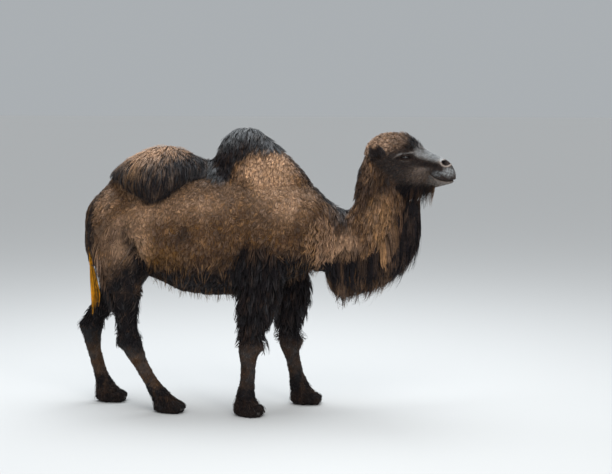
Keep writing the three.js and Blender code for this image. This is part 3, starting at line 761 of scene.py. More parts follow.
def kinds_of(points):
    """The kind of coat at each point, from the nearest node of flesh."""
    vertices, triangles, kinds = [], [], []
    for name in FLESH:
        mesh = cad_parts[name].data
        mesh.calc_loop_triangles()
        corners = read(mesh.loop_triangles, "vertices", 3, np.int32) + len(vertices)
        vertices += read(mesh.vertices, "co", 3).tolist()
        triangles += corners.tolist()
        kinds += [next(i for i, kind in enumerate(KIND_NAMES) if name in KINDS[kind])] * len(corners)
    tree = BVHTree.FromPolygons(vertices, triangles, all_triangles=True)
    return np.array([kinds[tree.find_nearest(point)[2]] for point in points.tolist()])


def shares_of(kind, edges, rounds):
    """How far each point belongs to each kind, evened out along the edges."""
    return relax(np.eye(len(KIND_NAMES))[kind], edges, 1, rounds)


def face_share(shares):
    """How far each point belongs to the face."""
    return shares[:, KIND_NAMES.index("head")] + shares[:, KIND_NAMES.index("jaw")]


def cap_share(points, shares):
    """Where the head wears its curly cap: forehead, crown and behind the ears."""
    x, _, z = points.T
    level = height_on(CAP_EDGE, x)
    head = np.clip(shares[:, KIND_NAMES.index("head")], 0, 1)
    return head * soft(z - level, -0.02, 0.02) * fade(x, 1.11, 1.16)


def bare_share(points, shares):
    """Where the hair is so short that the hide shows: lips and the rims of the nostrils."""
    return soft(points[:, 0], 1.20, 1.27) * np.clip(face_share(shares), 0, 1)


def eye_axes(side):
    """Centre of an eye, and its outward, forward and upward directions."""
    outward = unit(np.array([0.22, side * 0.97, 0.04]))
    forward = unit(np.array([1.0, 0.0, 0.05]) - outward * np.dot([1.0, 0.0, 0.05], outward))
    upward = np.cross(outward, forward) * side * -1
    if upward[2] < 0:
        upward = -upward
    centre = EYE_AT * np.array([1, side, 1]) + np.array([0, -side * 0.009, -0.002])
    return centre, outward, forward, upward


def eye_view(points, side):
    """How far points lie forwards, upwards and outwards of an eye's middle."""
    centre, outward, forward, upward = eye_axes(side)
    local = points - centre
    return local @ forward, local @ upward, local @ outward


def eye_slit(u, v):
    """How far inside the opening between the lids a place is, in metres: above 0 is inside."""
    share = np.clip(1 - (u / 0.029) ** 2, 0, 1)
    top = SLIT_TOP * share ** 0.6
    bottom = SLIT_BOTTOM * share ** 0.8
    # The slit runs on forwards as a narrow groove to the inner corner.
    groove = 0.0024 * soft(u, 0.014, 0.022) * fade(u, 0.045, 0.060)
    inside = np.minimum(np.maximum(top, groove) - v, v - np.minimum(bottom, -groove))
    return np.where(np.abs(u - 0.015) < 0.046, inside, -1.0)


def eye_depth(points, side):
    """How far inside the opening between an eye's lids each point is, as eye_slit gives it."""
    u, v, w = eye_view(points, side)
    near = np.linalg.norm(points - eye_axes(side)[0], axis=1) < 0.1
    return np.where((w > 0) & near, eye_slit(u, v), -1.0)


def cornea(facing):
    """How far the eyeball swells, as a factor, from how much its surface faces straight out."""
    return 1 + 0.05 * soft(facing, 0.78, 1.0)


def nostril(points, side):
    """How far out from a nostril's middle each point is: 1 at its edge."""
    local = points - np.array(NOSTRIL_AT) * np.array([1, side, 1])
    u = local @ unit(np.array([1.0, 0.0, -0.15]))
    v = local @ unit(np.array([0.15, 0.0, 1.0]))
    away = np.hypot(u / 0.034, (v - 5 * u ** 2 + 0.004) / 0.0175)
    return np.where(np.abs(local[:, 1]) < 0.042, away, 9.0)


def mouth(points):
    """Height over the line of the mouth, in widths of its gap, and how far the point is on the lips."""
    x, _, z = points.T
    corner, next_place = MOUTH[0][0], MOUTH[1][0]
    return (z - height_on(MOUTH, x)) / 0.0042, soft(x, corner - 0.01, next_place)


def shape_body(points, normals):
    """The folds at flank and elbow, each with the muscle that stands out in front of it."""
    moved = np.zeros(len(points))
    for line, deep in ((FLANK_FOLD, 0.024), (ELBOW_FOLD, 0.022), (SHOULDER_CREASE, 0.010)):
        ahead, level = beside(points, line)
        moved += level * deep * (0.35 * bell(ahead - 0.07, 0.04) - bell(ahead, 0.026))
    low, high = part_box("tail_dock")
    x, y, z = points.T
    dock = fade(z, low.z + 0.005, low.z + 0.10) * soft(z, low.z - 0.01, low.z) * (np.abs(y) < high.y + 0.01)
    narrowed = points + np.outer(dock * (x < high.x), [0.034, 0, 0])
    return narrowed + normals * moved[:, None]


def over_box(points, node, reach):
    """Whether each point is over or under a node's box, or up to `reach` before or behind it."""
    low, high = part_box(node)
    x, y, _ = points.T
    return (x > low.x - reach) & (x < high.x + reach) & (y > low.y - 0.02) & (y < high.y + 0.02)


def shape_feet(points, normals):
    """Two toes on each foot, a waist over the foot, tendons, and the pads of knee and hock."""
    x, y, z = points.T
    moved = np.zeros(len(points))
    for foot in FEET:
        low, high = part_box(foot)
        inside = over_box(points, foot, 0.02) & (z < 0.2)
        mid, front = (low.y + high.y) / 2, high.x
        cleft = bell(y - mid, 0.010) * soft(x, front - 0.100, front - 0.05) * soft(z, 0.004, 0.012)
        toes = bell(np.abs(y - mid) - 0.045, 0.028) * soft(x, front - 0.09, front - 0.05)
        toes *= soft(z, 0.02, 0.04) * fade(z, 0.06, 0.085)
        waist = bell(z - 0.125, 0.035)
        ankle = 0.0020 * np.sin((z + 0.15 * x) * 2 * np.pi / 0.026) * soft(z, 0.07, 0.09)
        moved += inside * (-0.022 * cleft + 0.009 * toes + 0.004 * waist + ankle)
    # Tendons stand out on each shank, and pads at the front of each knee and the back of each hock.
    for leg in LEGS:
        low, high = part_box(leg + "_lower")
        inside = over_box(points, leg + "_lower", 0.03)
        level = soft(z, 0.15, 0.22) * fade(z, 0.42, 0.50)
        moved += inside * level * (-0.005 * bell(np.abs(normals[:, 1]) - 0.85, 0.2))
        fore = leg.startswith("fore")
        joint, way, amount = (high.z - 0.028, 1, 0.019) if fore else (high.z + 0.006, -1, 0.015)
        moved += inside * amount * bell(z - joint, 0.034) * soft(normals[:, 0] * way, -0.1, 0.7)
        moved -= inside * 0.006 * bell(z - joint + 0.085, 0.035) * soft(normals[:, 0] * way, -0.1, 0.7)
    lumps = 0.0024 * mottle(points, 0.045) * fade(z, 0.48, 0.56)
    lumps = lumps + 0.0050 * mottle(points, 0.035) * fade(z, 0.10, 0.14)
    return points + normals * (moved + lumps)[:, None]


def shape_ears(points, normals):
    """The hollow of each ear, which faces forwards and outwards."""
    radii = np.array([0.034, 0.034, 0.046])
    for _, side in SIDES:
        centre = EAR_AT * np.array([1, side, 1]) + np.array([0.012, side * 0.034, 0.008])
        facing = np.array([0.35, side * 0.93, 0.0])
        local = (points - centre) / radii
        away = np.linalg.norm(local, axis=1)
        near = (away < 1) & (points[:, 0] > 0.7)
        pushed = centre + local / np.maximum(away, 1e-3)[:, None] * radii
        inward = np.minimum((pushed - points) @ facing, 0)
        points[near] += (inward[:, None] * facing)[near]
    return points


def shape_muzzle(points, normals):
    """Nostrils with their rims, the line of the mouth, the split lip and the wrinkles round them."""
    x, y, z = points.T
    for _, side in SIDES:
        away = nostril(points, side)
        rim = bell(away - 1.4, 0.32)
        points = points + normals * (0.0045 * rim - 0.024 * (1 - soft(away, 0.5, 1.05)))[:, None]
    gap, lips = mouth(points)
    relief = -0.0085 * bell(gap, 1.0) + 0.0035 * bell(gap - 3.2, 1.6) + 0.0040 * bell(gap + 3.0, 1.6)
    split = bell(y, 0.0035) * soft(x, 1.31, 1.345) * soft(z, 1.70, 1.72) * fade(z, 1.76, 1.79)
    curve = np.sin((z - 1.70 - 0.5 * (x - 1.25)) * 2 * np.pi / 0.017)
    wrinkles = curve * soft(x, 1.16, 1.22) * fade(x, 1.29, 1.33) * soft(np.abs(y), 0.03, 0.045)
    # A hollow runs from the inner corner of the eye towards the nostril.
    corner = (EYE_AT[0] + 0.07, EYE_AT[2] - 0.004)
    tear = capsule(points, corner, TEAR_END, 0.022, 0.1) * soft(np.abs(y), 0.03, 0.05)
    return points + normals * (relief * lips - 0.005 * split + 0.0009 * wrinkles - 0.006 * tear)[:, None]


def shape_eyes(points, normals):
    """Lids over each eyeball, with a long fold above, a bag below and a ridge of brow."""
    lid, inside = EYE_RADIUS + 0.0022, EYE_RADIUS - 0.006
    for _, side in SIDES:
        u, v, w = eye_view(points, side)
        away = np.hypot(u, v)
        near = (away < 0.11) & (w > -0.03)
        dome = np.sqrt(np.maximum(lid ** 2 - np.minimum(away, lid * 0.985) ** 2, 0))
        spread = soft(np.hypot(u * 0.8, v * 1.1), 0.016, 0.044)
        long = fade(np.abs(u), 0.02, 0.060)
        brow = 0.007 * bell(v - 0.048 + 4 * u ** 2, 0.013) * long
        ridge = 0.0042 * bell(v - brow_fold(u), 0.0055) * fade(np.abs(u), 0.05, 0.085)
        under = 0.003 * bell(v + 0.036 - 4 * u ** 2, 0.012) * long
        covered = dome * (1 - spread) + w * spread + brow + under + ridge
        fold = 0.0034 * bell(v - brow_fold(u) + 0.0095, 0.0026) * fade(np.abs(u), 0.035, 0.062)
        bag = 0.0020 * bell(v + 0.0165 - 7 * u ** 2, 0.0026) * fade(np.abs(u), 0.03, 0.042)
        puff = 0.0012 * bell(v + 0.0105 - 7 * u ** 2, 0.0030) * fade(np.abs(u), 0.026, 0.036)
        bulge = cornea(np.sqrt(np.maximum(1 - (away / EYE_RADIUS) ** 2, 0)))
        ball = np.sqrt(np.maximum((EYE_RADIUS * bulge) ** 2 - away ** 2, 0))
        covered = np.maximum(covered - fold - bag + puff, np.where(away < EYE_RADIUS, ball + 0.0011, -1.0))
        opened = np.where(away < inside, np.sqrt(np.maximum(inside ** 2 - away ** 2, 0)), covered - 0.005)
        share = soft(eye_slit(u, v), -0.0005, 0.0007)
        target = covered * (1 - share) + np.minimum(opened, covered) * share
        outward = eye_axes(side)[1]
        points[near] += outward * (target - w)[near, None]
    return points


def make_skin(sizes, colours):
    """The whole hide in one piece, under the coat."""
    mesh = flesh_shell(sizes.voxel)
    points = read(mesh.vertices, "co", 3)
    edges = read(mesh.edges, "vertices", 2, np.int32)
    shares = shares_of(kinds_of(points), edges, 6)
    bulk = shares[:, [KIND_NAMES.index(name) for name in ("trunk", "neck", "hump_front", "thigh", "forearm")]]
    bulk = bulk.sum(1, keepdims=True) * soft(points[:, 2:], 0.85, 1.0)
    points = relax(points, edges, bulk * 0.9, sizes.evening, back=0.35)
    points = relax(points, edges, 1, 6, back=SWELLING)
    move_to(mesh, points)
    refine(mesh, finer, 4)

    points = read(mesh.vertices, "co", 3)
    edges = read(mesh.edges, "vertices", 2, np.int32)
    head = soft(points[:, 0], 0.72, 0.8)[:, None] * soft(points[:, 2], 1.5, 1.56)[:, None]
    points = relax(points, edges, head, 5, back=SWELLING)
    kind = kinds_of(points)
    below = points[:, 2] < height_on(FRINGE, points[:, 0]) - 0.01
    kind[(kind == KIND_NAMES.index("hump_rear")) & below] = KIND_NAMES.index("trunk")
    blended = shares_of(kind, edges, 16)
    depth = blended @ DEPTHS + 0.007 * cap_share(points, blended)
    move_to(mesh, points)
    normals = unit(relax(read(mesh.vertices, "normal", 3), edges, 1, 3))
    points = points - normals * depth[:, None]
    for shape in (shape_body, shape_feet, shape_ears, shape_muzzle, shape_eyes):
        points = shape(points, normals)
    # The soles stay on the floor.
    points[:, 2] = np.maximum(points[:, 2], SOLE_GAP)
    move_to(mesh, points)

    normals = read(mesh.vertices, "normal", 3)
    marks = markings(points, normals, blended)
    lie = unit(relax(lie_of_coat(points, normals, kind), edges, 1, 8))
    # Painted shade: inside the eye's opening the hide is painted dark and made glossier, between lids and
    # eyeball; elsewhere it takes the darkness of a tuft's root, as shade under the coat, less of it on the
    # face.
    slit = np.max([soft(eye_depth(points, side), -0.0012, 0.0002) for _, side in SIDES], 0)
    along = 0.25 + 0.35 * np.clip(face_share(blended), 0, 1)
    strand = np.stack([along * (1 - 0.6 * slit), np.full(len(points), 0.5), 0.8 - 0.3 * slit, 0 * along], 1)
    marks[:, 1] = np.maximum(marks[:, 1], slit)
    marks[:, 3] = marks[:, 3] * (1 - slit)
    set_attribute(mesh, "marks", "FLOAT_COLOR", marks)
    set_attribute(mesh, "strand", "FLOAT_COLOR", strand)
    set_attribute(mesh, "lie", "FLOAT_VECTOR", lie)
    set_attribute(mesh, "kind", "INT", kind)
    add_piece("skin", mesh, hair_material("hide", colours, 300.0, 0.0012, 0.0), FLESH)


# --- Hair ------------------------------------------------------


class Hide:
    """The finished skin as arrays, for hair to be laid on."""

    def __init__(self):
        mesh = bpy.data.objects["skin"].data
        mesh.calc_loop_triangles()
        self.points = read(mesh.vertices, "co", 3)
        self.normals = read(mesh.vertices, "normal", 3)
        self.corners = read(mesh.loop_triangles, "vertices", 3, np.int32)
        self.marks = read(mesh.attributes["marks"].data, "color", 4)
        self.lie = read(mesh.attributes["lie"].data, "vector", 3)
        self.kind = read(mesh.attributes["kind"].data, "value", 1, np.int32)[:, 0]
        self.tree = BVHTree.FromPolygons(self.points.tolist(), self.corners.tolist(), all_triangles=True)
        first, second, third = (self.points[self.corners[:, i]] for i in range(3))
        self.areas = np.linalg.norm(np.cross(second - first, third - first), axis=1) / 2
        self.centres = (first + second + third) / 3
        self.face_kind = np.sort(self.kind[self.corners], 1)[:, 1]
        self.shares = np.eye(len(KIND_NAMES))[self.face_kind]

    def facing(self, axis):
        """How far each triangle faces along an axis."""
        return self.normals[self.corners].mean(1)[:, axis]

    def of(self, *names):
        """1 on the triangles of these kinds of coat."""
        return self.shares[:, [KIND_NAMES.index(name) for name in names]].sum(1)

    def mean(self, values, triangles):
        """Mean of the corners' values on these triangles."""
        return values[self.corners[triangles]].mean(1)

    def roots(self, weight, count, rng):
        """About `count` roots spread evenly over the triangles that have weight, with their triangles."""
        share = self.areas * weight
        chosen = rng.choice(len(share), count * 4, p=share / share.sum())
        places = scattered(self.points[self.corners[chosen]], rng)
        cell = math.sqrt(1.3 * share.sum() / count)
        keys = np.floor(places / cell).astype(np.int64)
        keys = keys @ CELL_KEYS
        _, first_of = np.unique(keys, return_index=True)
        if len(first_of) > count:
            first_of = rng.choice(first_of, count, replace=False)
        return places[first_of], chosen[first_of]


def grow(hide, roots, triangles, length, lift, turn, rng, steps=3, curl=0.3, hang=0.0, loose=0.0, sink=0.002):
    """Paths of tufts that start at roots and follow the lie of the coat over the skin.

    `lift` is the height of the tips over the skin. `hang` mixes gravity into the way, and tufts with
    `loose` leave the skin where it falls away under them, by that much at most.
    """
    count = len(roots)
    normal = unit(hide.mean(hide.normals, triangles))
    place, face = roots.copy(), triangles
    paths, norms = [roots - normal * sink], [normal]
    bend = rng.normal(0, curl, count)
    for step in range(1, steps + 1):
        share = step / steps
        way = unit(hide.mean(hide.lie, face))
        angle = (turn + bend * share)[:, None]
        way = way * np.cos(angle) + np.cross(normal, way) * np.sin(angle)
        way = unit(way * (1 - hang) + DOWN * hang)
        ahead = place + way * (length / steps)[:, None]
        on_skin, face = found(hide.tree, ahead, PLACE, TRIANGLE)
        normal = unit(hide.mean(hide.normals, face))
        over = lift * share ** 0.75
        gap = np.sum((ahead - on_skin) * normal, 1)
        free = (gap > over) & (loose > 0)
        place = np.where(free[:, None], on_skin + normal * np.minimum(gap, over + loose)[:, None], on_skin)
        paths.append(np.where(free[:, None], place, on_skin + normal * over[:, None]))
        norms.append(normal)
    return np.stack(paths, 1), np.stack(norms, 1)


def gather(paths, norms, size, pull, rng, wave=0.0, turns=1.0):
    """Draws tufts together into locks of about `size` tufts, with a wave that a lock shares.

    Returns the paths and each tuft's leader.
    """
    count, levels = paths.shape[:2]
    leaders = rng.choice(count, max(count // size, 1), replace=False)
    finder = KDTree(len(leaders))
    for i, leader in enumerate(leaders):
        finder.insert(paths[leader, 1], i)
    finder.balance()
    own = leaders[[finder.find(place)[1] for place in paths[:, 1].tolist()]]
    along = np.linspace(0, 1, levels)
    strength = (pull * rng.uniform(0.6, 1.1, count))[:, None, None]
    paths = paths + (paths[own] - paths) * (along ** 1.2)[None, :, None] * strength
    if wave:
        side = np.cross(paths[:, -1] - paths[:, 0], norms.mean(1))
        phase = rng.uniform(0, 2 * np.pi, count)[own][:, None]
        shift = np.sin(phase + np.linspace(0, turns * 2 * np.pi, levels)[None]) * along[None] ** 0.6
        paths = paths + unit(side)[:, None] * (shift * wave)[:, :, None]
    return paths, own


def fit_to(paths, limit):
    """Shortens the tufts whose tips would fall below a height given for each."""
    root, tip = paths[:, 0, 2], paths[:, -1, 2]
    factor = np.where(tip < limit, (root - limit) / np.maximum(root - tip, 1e-4), 1.0)
    return paths[:, :1] + (paths - paths[:, :1]) * np.clip(factor, 0.2, 1)[:, None, None]


def lock_tones(rng, count, own):
    """Tones of tufts, partly each one's own and mostly its lock's."""
    return 0.4 * rng.beta(2, 2, count) + 0.6 * rng.beta(1.6, 1.6, count)[own]


def tufts(paths, norms, half, thick, marks, tone, wet, uv, rise=0.0):
    """One batch of tufts, with all that a piece needs of each. `rise` makes the roots paler."""
    return {"paths": paths, "norms": norms, "half": half, "thick": thick, "marks": marks, "tone": tone,
            "wet": wet, "uv": uv, "rise": rise}


def triangles_of(steps):
    """Triangles in one tuft with this many steps along it."""
    return 6 * (steps - 1) + 4


def tuft_faces(rings):
    """The faces of one tuft: its sides, its tip and the flat end at its root."""
    quads = [[3 * r + a, 3 * r + b, 3 * r + 3 + b, 3 * r + 3 + a]
             for r in range(rings - 1) for a, b in TUFT_SIDES]
    last, tip = 3 * rings - 3, 3 * rings
    return quads + [[last + a, last + b, tip] for a, b in TUFT_SIDES] + [[0, 2, 1]]


def tuft_points(batch, rings):
    """The points of each tuft of a batch: rings of three, and the tip."""
    paths = batch["paths"]
    ahead = unit(np.gradient(paths, axis=1))
    side = unit(np.cross(ahead, batch["norms"]))
    up = unit(np.cross(side, ahead))
    widths = np.array(RING_WIDTHS[rings])[None, :, None]
    wide = batch["half"][:, None, None] * widths
    high = batch["thick"][:, None, None] * widths
    centre, side, up = paths[:, :rings], side[:, :rings], up[:, :rings]
    ring = np.stack([centre - side * wide, centre + up * high, centre + side * wide], 2)
    block = np.concatenate([ring.reshape(len(paths), rings * 3, 3), paths[:, -1:]], 1)
    block[..., 2] = np.maximum(block[..., 2], HAIR_GAP)
    return block


def hair_piece(name, batches, material, replaces=()):
    """Closed, tapered, three-sided tufts, joined into one piece."""
    points, faces, starts, strands, marks, uvs = [], [], [], [], [], []
    base = corner = 0
    for batch in batches:
        count, rings = batch["paths"].shape[0], batch["paths"].shape[1] - 1
        each = rings * 3 + 1
        points.append(tuft_points(batch, rings).reshape(-1, 3))
        polygons = tuft_faces(rings)
        flat = np.array([index for polygon in polygons for index in polygon])
        sizes = np.array([len(polygon) for polygon in polygons])
        tuft = np.arange(count)[:, None]
        faces.append((tuft * each + base + flat[None]).ravel())
        starts.append((tuft * len(flat) + (np.cumsum(sizes) - sizes)[None] + corner).ravel())
        along = np.concatenate([np.repeat(np.arange(rings) / rings, 3), [1.0]])
        across = np.concatenate([np.tile([-1.0, 0.0, 1.0], rings), [0.0]])
        channels = (along * (1 - batch["rise"]) + batch["rise"], batch["tone"][:, None],
                    batch["wet"][:, None], across / 2 + 0.5)
        channels = [np.broadcast_to(values, (count, each)) for values in channels]
        strands.append(np.stack(channels, 2).reshape(-1, 4))
        marks.append(np.repeat(batch["marks"], each, 0))
        patch = np.stack([across, along * 2 - 1], 1) * TUFT_PATCH
        uv = np.clip(batch["uv"], 0.002, 0.998)[:, None] + patch[None]
        uvs.append(uv[:, flat].reshape(-1, 2))
        base += count * each
        corner += count * len(flat)
    mesh = bpy.data.meshes.new(name)
    points, faces, starts = np.concatenate(points), np.concatenate(faces), np.concatenate(starts)
    mesh.vertices.add(len(points))
    mesh.loops.add(len(faces))
    mesh.polygons.add(len(starts))
    mesh.vertices.foreach_set("co", points.astype(np.float32).ravel())
    mesh.loops.foreach_set("vertex_index", faces.astype(np.int32))
    mesh.polygons.foreach_set("loop_start", starts.astype(np.int32))
    mesh.update(calc_edges=True)
    mesh.uv_layers.new(name="OFBake").data.foreach_set("uv", np.concatenate(uvs).astype(np.float32).ravel())
    set_attribute(mesh, "marks", "FLOAT_COLOR", np.concatenate(marks))
    set_attribute(mesh, "strand", "FLOAT_COLOR", np.concatenate(strands))
    add_piece(name, mesh, material, replaces)


def hair_of(name, colours):
    """One of the hair materials, made where the scene doesn't have it yet."""
    return bpy.data.materials.get(name) or hair_material(name, colours, *HAIR_LOOKS[name])


def coat_batch(hide, coat, rng, unwrap, weight, share, scale=1.0, steps=3, locks=5, pull=0.45, fine=1.0,
               puff=1.0, limit=None, bright=0.5, wave=0.0, **ways):
    """Tufts of the lengths and widths that each kind of coat has, over the triangles with weight.

    `share` is the batch's share of a full piece's triangles, `fine` scales the tufts' width and `puff` the
    height of their tips. `limit` gives the height that tips stay over, from their roots.
    """
    roots, faces = hide.roots(weight, int(coat.triangles * share / triangles_of(steps)), rng)
    kind = hide.face_kind[faces]
    n = len(roots)
    length = LENGTHS[kind] * rng.uniform(0.7, 1.25, n) * scale * coat.length
    lift = np.maximum(DEPTHS[kind], 0.004) * rng.uniform(0.6, 1.25, n) * puff
    turn = rng.normal(0, 1, n) * TURNS[kind]
    paths, norms = grow(hide, roots, faces, length, lift, turn, rng, steps, **ways)
    paths, own = gather(paths, norms, locks, pull, rng, wave)
    if limit is not None:
        paths = fit_to(paths, limit(roots) - 0.015 * rng.random(n)[own])
    half = HALF_WIDTHS[kind] * rng.uniform(0.6, 1.15, n) * fine
    stray = rng.normal(0, 0.06, (n, 4)) + rng.normal(0, 0.07, (n, 4))[own]
    marks = np.clip(hide.mean(hide.marks, faces) + stray * [1, 1, 0.6, 0.3], 0, 1)
    tone = lock_tones(rng, n, own) + (bright - 0.5)
    return tufts(paths, norms, half, half * 0.5, marks, tone, rng.random(n), unwrap(roots))


def recolour(batch, change, share=(1, 1, 1, 1)):
    """Changes the markings of a batch: each is scaled by its share, and then has its change added."""
    batch["marks"] = np.clip(batch["marks"] * share + change, 0, 1)


def cylinder(points, start, end):
    """Unwrap of a form along its own axis, as shares round it and along it."""
    start, end = np.array(start, float), np.array(end, float)
    axis = unit(end - start)
    side = np.array([0.0, 1.0, 0.0])
    other = np.cross(axis, side)
    local = points - start
    return np.stack([np.arctan2(local @ side, local @ other) / (2 * np.pi) + 0.5,
                     local @ axis / np.linalg.norm(end - start)], 1)


def bent_tube(points, centre, radius):
    """Unwrap of a form that bends round a centre in the middle plane."""
    x, z = points[:, 0] - centre[0], points[:, 2] - centre[1]
    ring = np.arctan2(points[:, 1], np.hypot(x, z) - radius) / (2 * np.pi) + 0.5
    return np.stack([ring, (np.arctan2(z, x) + np.pi * 0.75) / np.pi], 1)


def tile(uv, column, row, columns, rows):
    """A share of the unwrap's square, where several forms lie side by side."""
    return (np.clip(uv, 0.01, 0.99) + [column, row]) / [columns, rows]


def unwrap_trunk(points):
    """Unwrap of the trunk round its length."""
    low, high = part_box("trunk")
    return cylinder(points, (low.x, 0, (low.z + high.z) / 2), (high.x, 0, (low.z + high.z) / 2))


def unwrap_hump(points, node):
    """Unwrap of a hump round its height."""
    low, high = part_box(node)
    return cylinder(points, ((low.x + high.x) / 2, -0.02, low.z), ((low.x + high.x) / 2, -0.02, high.z))


def unwrap_neck(points):
    """Unwrap of the neck round its bend."""
    return bent_tube(points, (0.62, 1.72), 0.5)


def unwrap_head(points):
    """Unwrap of the head round its length."""
    low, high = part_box("head")
    return cylinder(points, (low.x, 0, 1.74), (high.x, 0, 1.72))


def unwrap_legs(points, names):
    """Unwrap of a pair of legs, each in half of the square."""
    uv = np.zeros((len(points), 2))
    for column, name in enumerate(names):
        top, foot = middle(name + "_upper"), middle(name.replace("leg", "foot"))
        chosen = (points[:, 1] > 0) == (top[1] > 0)
        upper_end = (top[0], top[1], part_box(name + "_upper")[1].z)
        flat = cylinder(points, upper_end, (foot[0], foot[1], 0))
        uv[chosen] = tile(flat, column, 0, 2, 1)[chosen]
    return uv


def ripple_share(points):
    """How far the hair is drawn into crimped ridges, where the neck leaves the chest."""
    return blob(points, on_side(RIPPLES, 0.22), (0.12, 0.3, 0.22), 0.5)


def make_trunk_coat(coat, colours):
    """Short felted wool over the trunk, one piece for each side."""
    hide = Hide()
    ripple = ripple_share(hide.centres)
    for word, side in SIDES:
        rng = np.random.default_rng(coat.seed + 10 + side)
        lay = partial(coat_batch, hide, coat, rng, unwrap_trunk)
        weight = hide.of("trunk") * (hide.centres[:, 1] * side > 0) * (1 - 0.85 * ripple)
        smooth = fade(hide.centres[:, 2], 1.12, 1.32)
        under = weight * soft(-hide.facing(2), 0.25, 0.6)
        felt = lay(weight * (1 - smooth), 0.52, steps=2, locks=9, pull=0.6, curl=0.7, hang=0.12, loose=0.008)
        plain = lay(weight * smooth, 0.38, scale=1.25, steps=2, locks=9, pull=0.6, curl=0.25, hang=0.3,
                    loose=0.008)
        fringe = lay(under, 0.09, locks=9, pull=0.8, curl=0.1, hang=0.5, loose=0.020, fine=0.8)
        wisps = lay(under, 0.04, scale=2.2, locks=5, pull=0.7, curl=0.15, hang=0.9, loose=0.065, fine=0.42)
        recolour(wisps, [0.35, -0.4, 0.1, 0])
        hair_piece("coat_trunk_" + word, [felt, plain, fringe, wisps], hair_of("wool", colours))


def make_hump_coat(coat, colours):
    """Longer hair over both humps, hanging from the slack one in strands."""
    hide = Hide()
    rng = np.random.default_rng(coat.seed + 20)
    lay = partial(coat_batch, hide, coat, rng, partial(unwrap_hump, node="hump_front"))
    border = height_on(CREST_EDGE, hide.centres[:, 0])
    crest = hide.of("hump_front") * (hide.centres[:, 2] > border - 0.01)
    under = lay(hide.of("hump_front") - crest, 0.35, scale=0.5, locks=8, pull=0.6, curl=0.4, hang=0.1,
                loose=0.01, bright=0.64)
    over = lay(crest, 0.45, scale=1.25, steps=4, locks=8, pull=0.7, curl=0.15, hang=0.25, loose=0.035,
               puff=1.9, wave=0.004)
    hair_piece("coat_hump_front", [under, over], hair_of("long_hair", colours))

    def fringe_line(places):
        """The level that the slack hump's hair ends at, under each place."""
        return height_on(FRINGE, places[:, 0])

    lay = partial(coat_batch, hide, coat, rng, partial(unwrap_hump, node="hump_rear"), steps=4,
                  limit=fringe_line)
    over = lay(hide.of("hump_rear"), 0.70, scale=0.9, locks=6, pull=0.5, curl=0.1, hang=0.35, loose=0.05,
               puff=1.6, fine=0.8)
    fringe = lay(hide.of("hump_rear") * slack_dark(hide.centres), 0.32, scale=1.2, locks=10, pull=0.7,
                 curl=0.1, hang=0.75, loose=0.06, puff=1.8, fine=0.85)
    for batch in (over, fringe):
        batch["tone"] = 0.55 + (batch["tone"] - 0.5) * 0.6
    hair_piece("coat_hump_rear", [over, fringe], hair_of("long_hair", colours))


def crimp(batch):
    """Draws hair into upright crimped ridges, which share their bends with their neighbours."""
    paths, root = batch["paths"], batch["paths"][:, 0]
    bends = np.sin(paths[:, :, 2] * 2 * np.pi / BEND_STEP + 2.0 * mottle(root * [1, 0, 0.3], 0.3)[:, None])
    free = np.linspace(0.25, 1, paths.shape[1])[None]
    paths[:, :, 0] += BEND_REACH * bends * free
    place = root[:, 0] + BEND_REACH * bends[:, 0] + 0.25 * (root[:, 2] - 1.2)
    ridge = np.sin(place * 2 * np.pi / RIDGE_STEP)
    # Painted light and shade: each ridge is painted paler and the groove between ridges darker, over the
    # relief that the ridges get below.
    batch["tone"] = np.clip(batch["tone"] + 0.40 * ridge, 0, 1)
    batch["marks"][:, 1] = np.clip(batch["marks"][:, 1] - 0.62 * ridge, 0, 1)
    batch["marks"][:, 0] = np.clip(batch["marks"][:, 0] + 0.20 * ridge + 0.15, 0, 1)
    batch["paths"] = paths + batch["norms"] * (0.0065 * ridge)[:, None, None] * free[:, :, None]


def make_neck_coat(coat, colours):
    """Hanging hair over the neck, with crimped ridges where it leaves the chest."""
    hide = Hide()
    rng = np.random.default_rng(coat.seed + 30)
    lay = partial(coat_batch, hide, coat, rng, unwrap_neck)
    ripple = ripple_share(hide.centres)
    plain = lay(hide.of("neck") * (1 - 0.85 * ripple), 0.66, locks=9, pull=0.7, curl=0.2, hang=0.3,
                loose=0.015, wave=0.004, puff=1.2)
    crimped = lay(hide.of("neck", "trunk") * (ripple > 0.2), 0.30, scale=1.3, steps=5, locks=6, pull=0.35,
                  curl=0.03, hang=0.55, loose=0.008, puff=1.25, fine=0.9)
    crimp(crimped)
    hair_piece("coat_neck", [plain, crimped], hair_of("wool", colours))


def lowest(tree, places):
    """Height of a solid's lower side under each place, or the place's own height beside it."""
    hits = [tree.ray_cast(Vector((place[0], 0.0, 0.0)), Vector((0, 0, 1)))[0] for place in places.tolist()]
    return np.array([hit.z if hit else place[2] for hit, place in zip(hits, places)])


def outer_shell(name):
    """A node's surface to root hair on: its search tree, and its triangles' corners, areas and facings."""
    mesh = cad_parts[name].data
    mesh.calc_loop_triangles()
    points = read(mesh.vertices, "co", 3)
    corners = read(mesh.loop_triangles, "vertices", 3, np.int32)
    tree = BVHTree.FromPolygons(points.tolist(), corners.tolist(), all_triangles=True)
    first, second, third = (points[corners[:, i]] for i in range(3))
    crossed = np.cross(second - first, third - first)
    return tree, points[corners], np.linalg.norm(crossed, axis=1) / 2, unit(crossed)


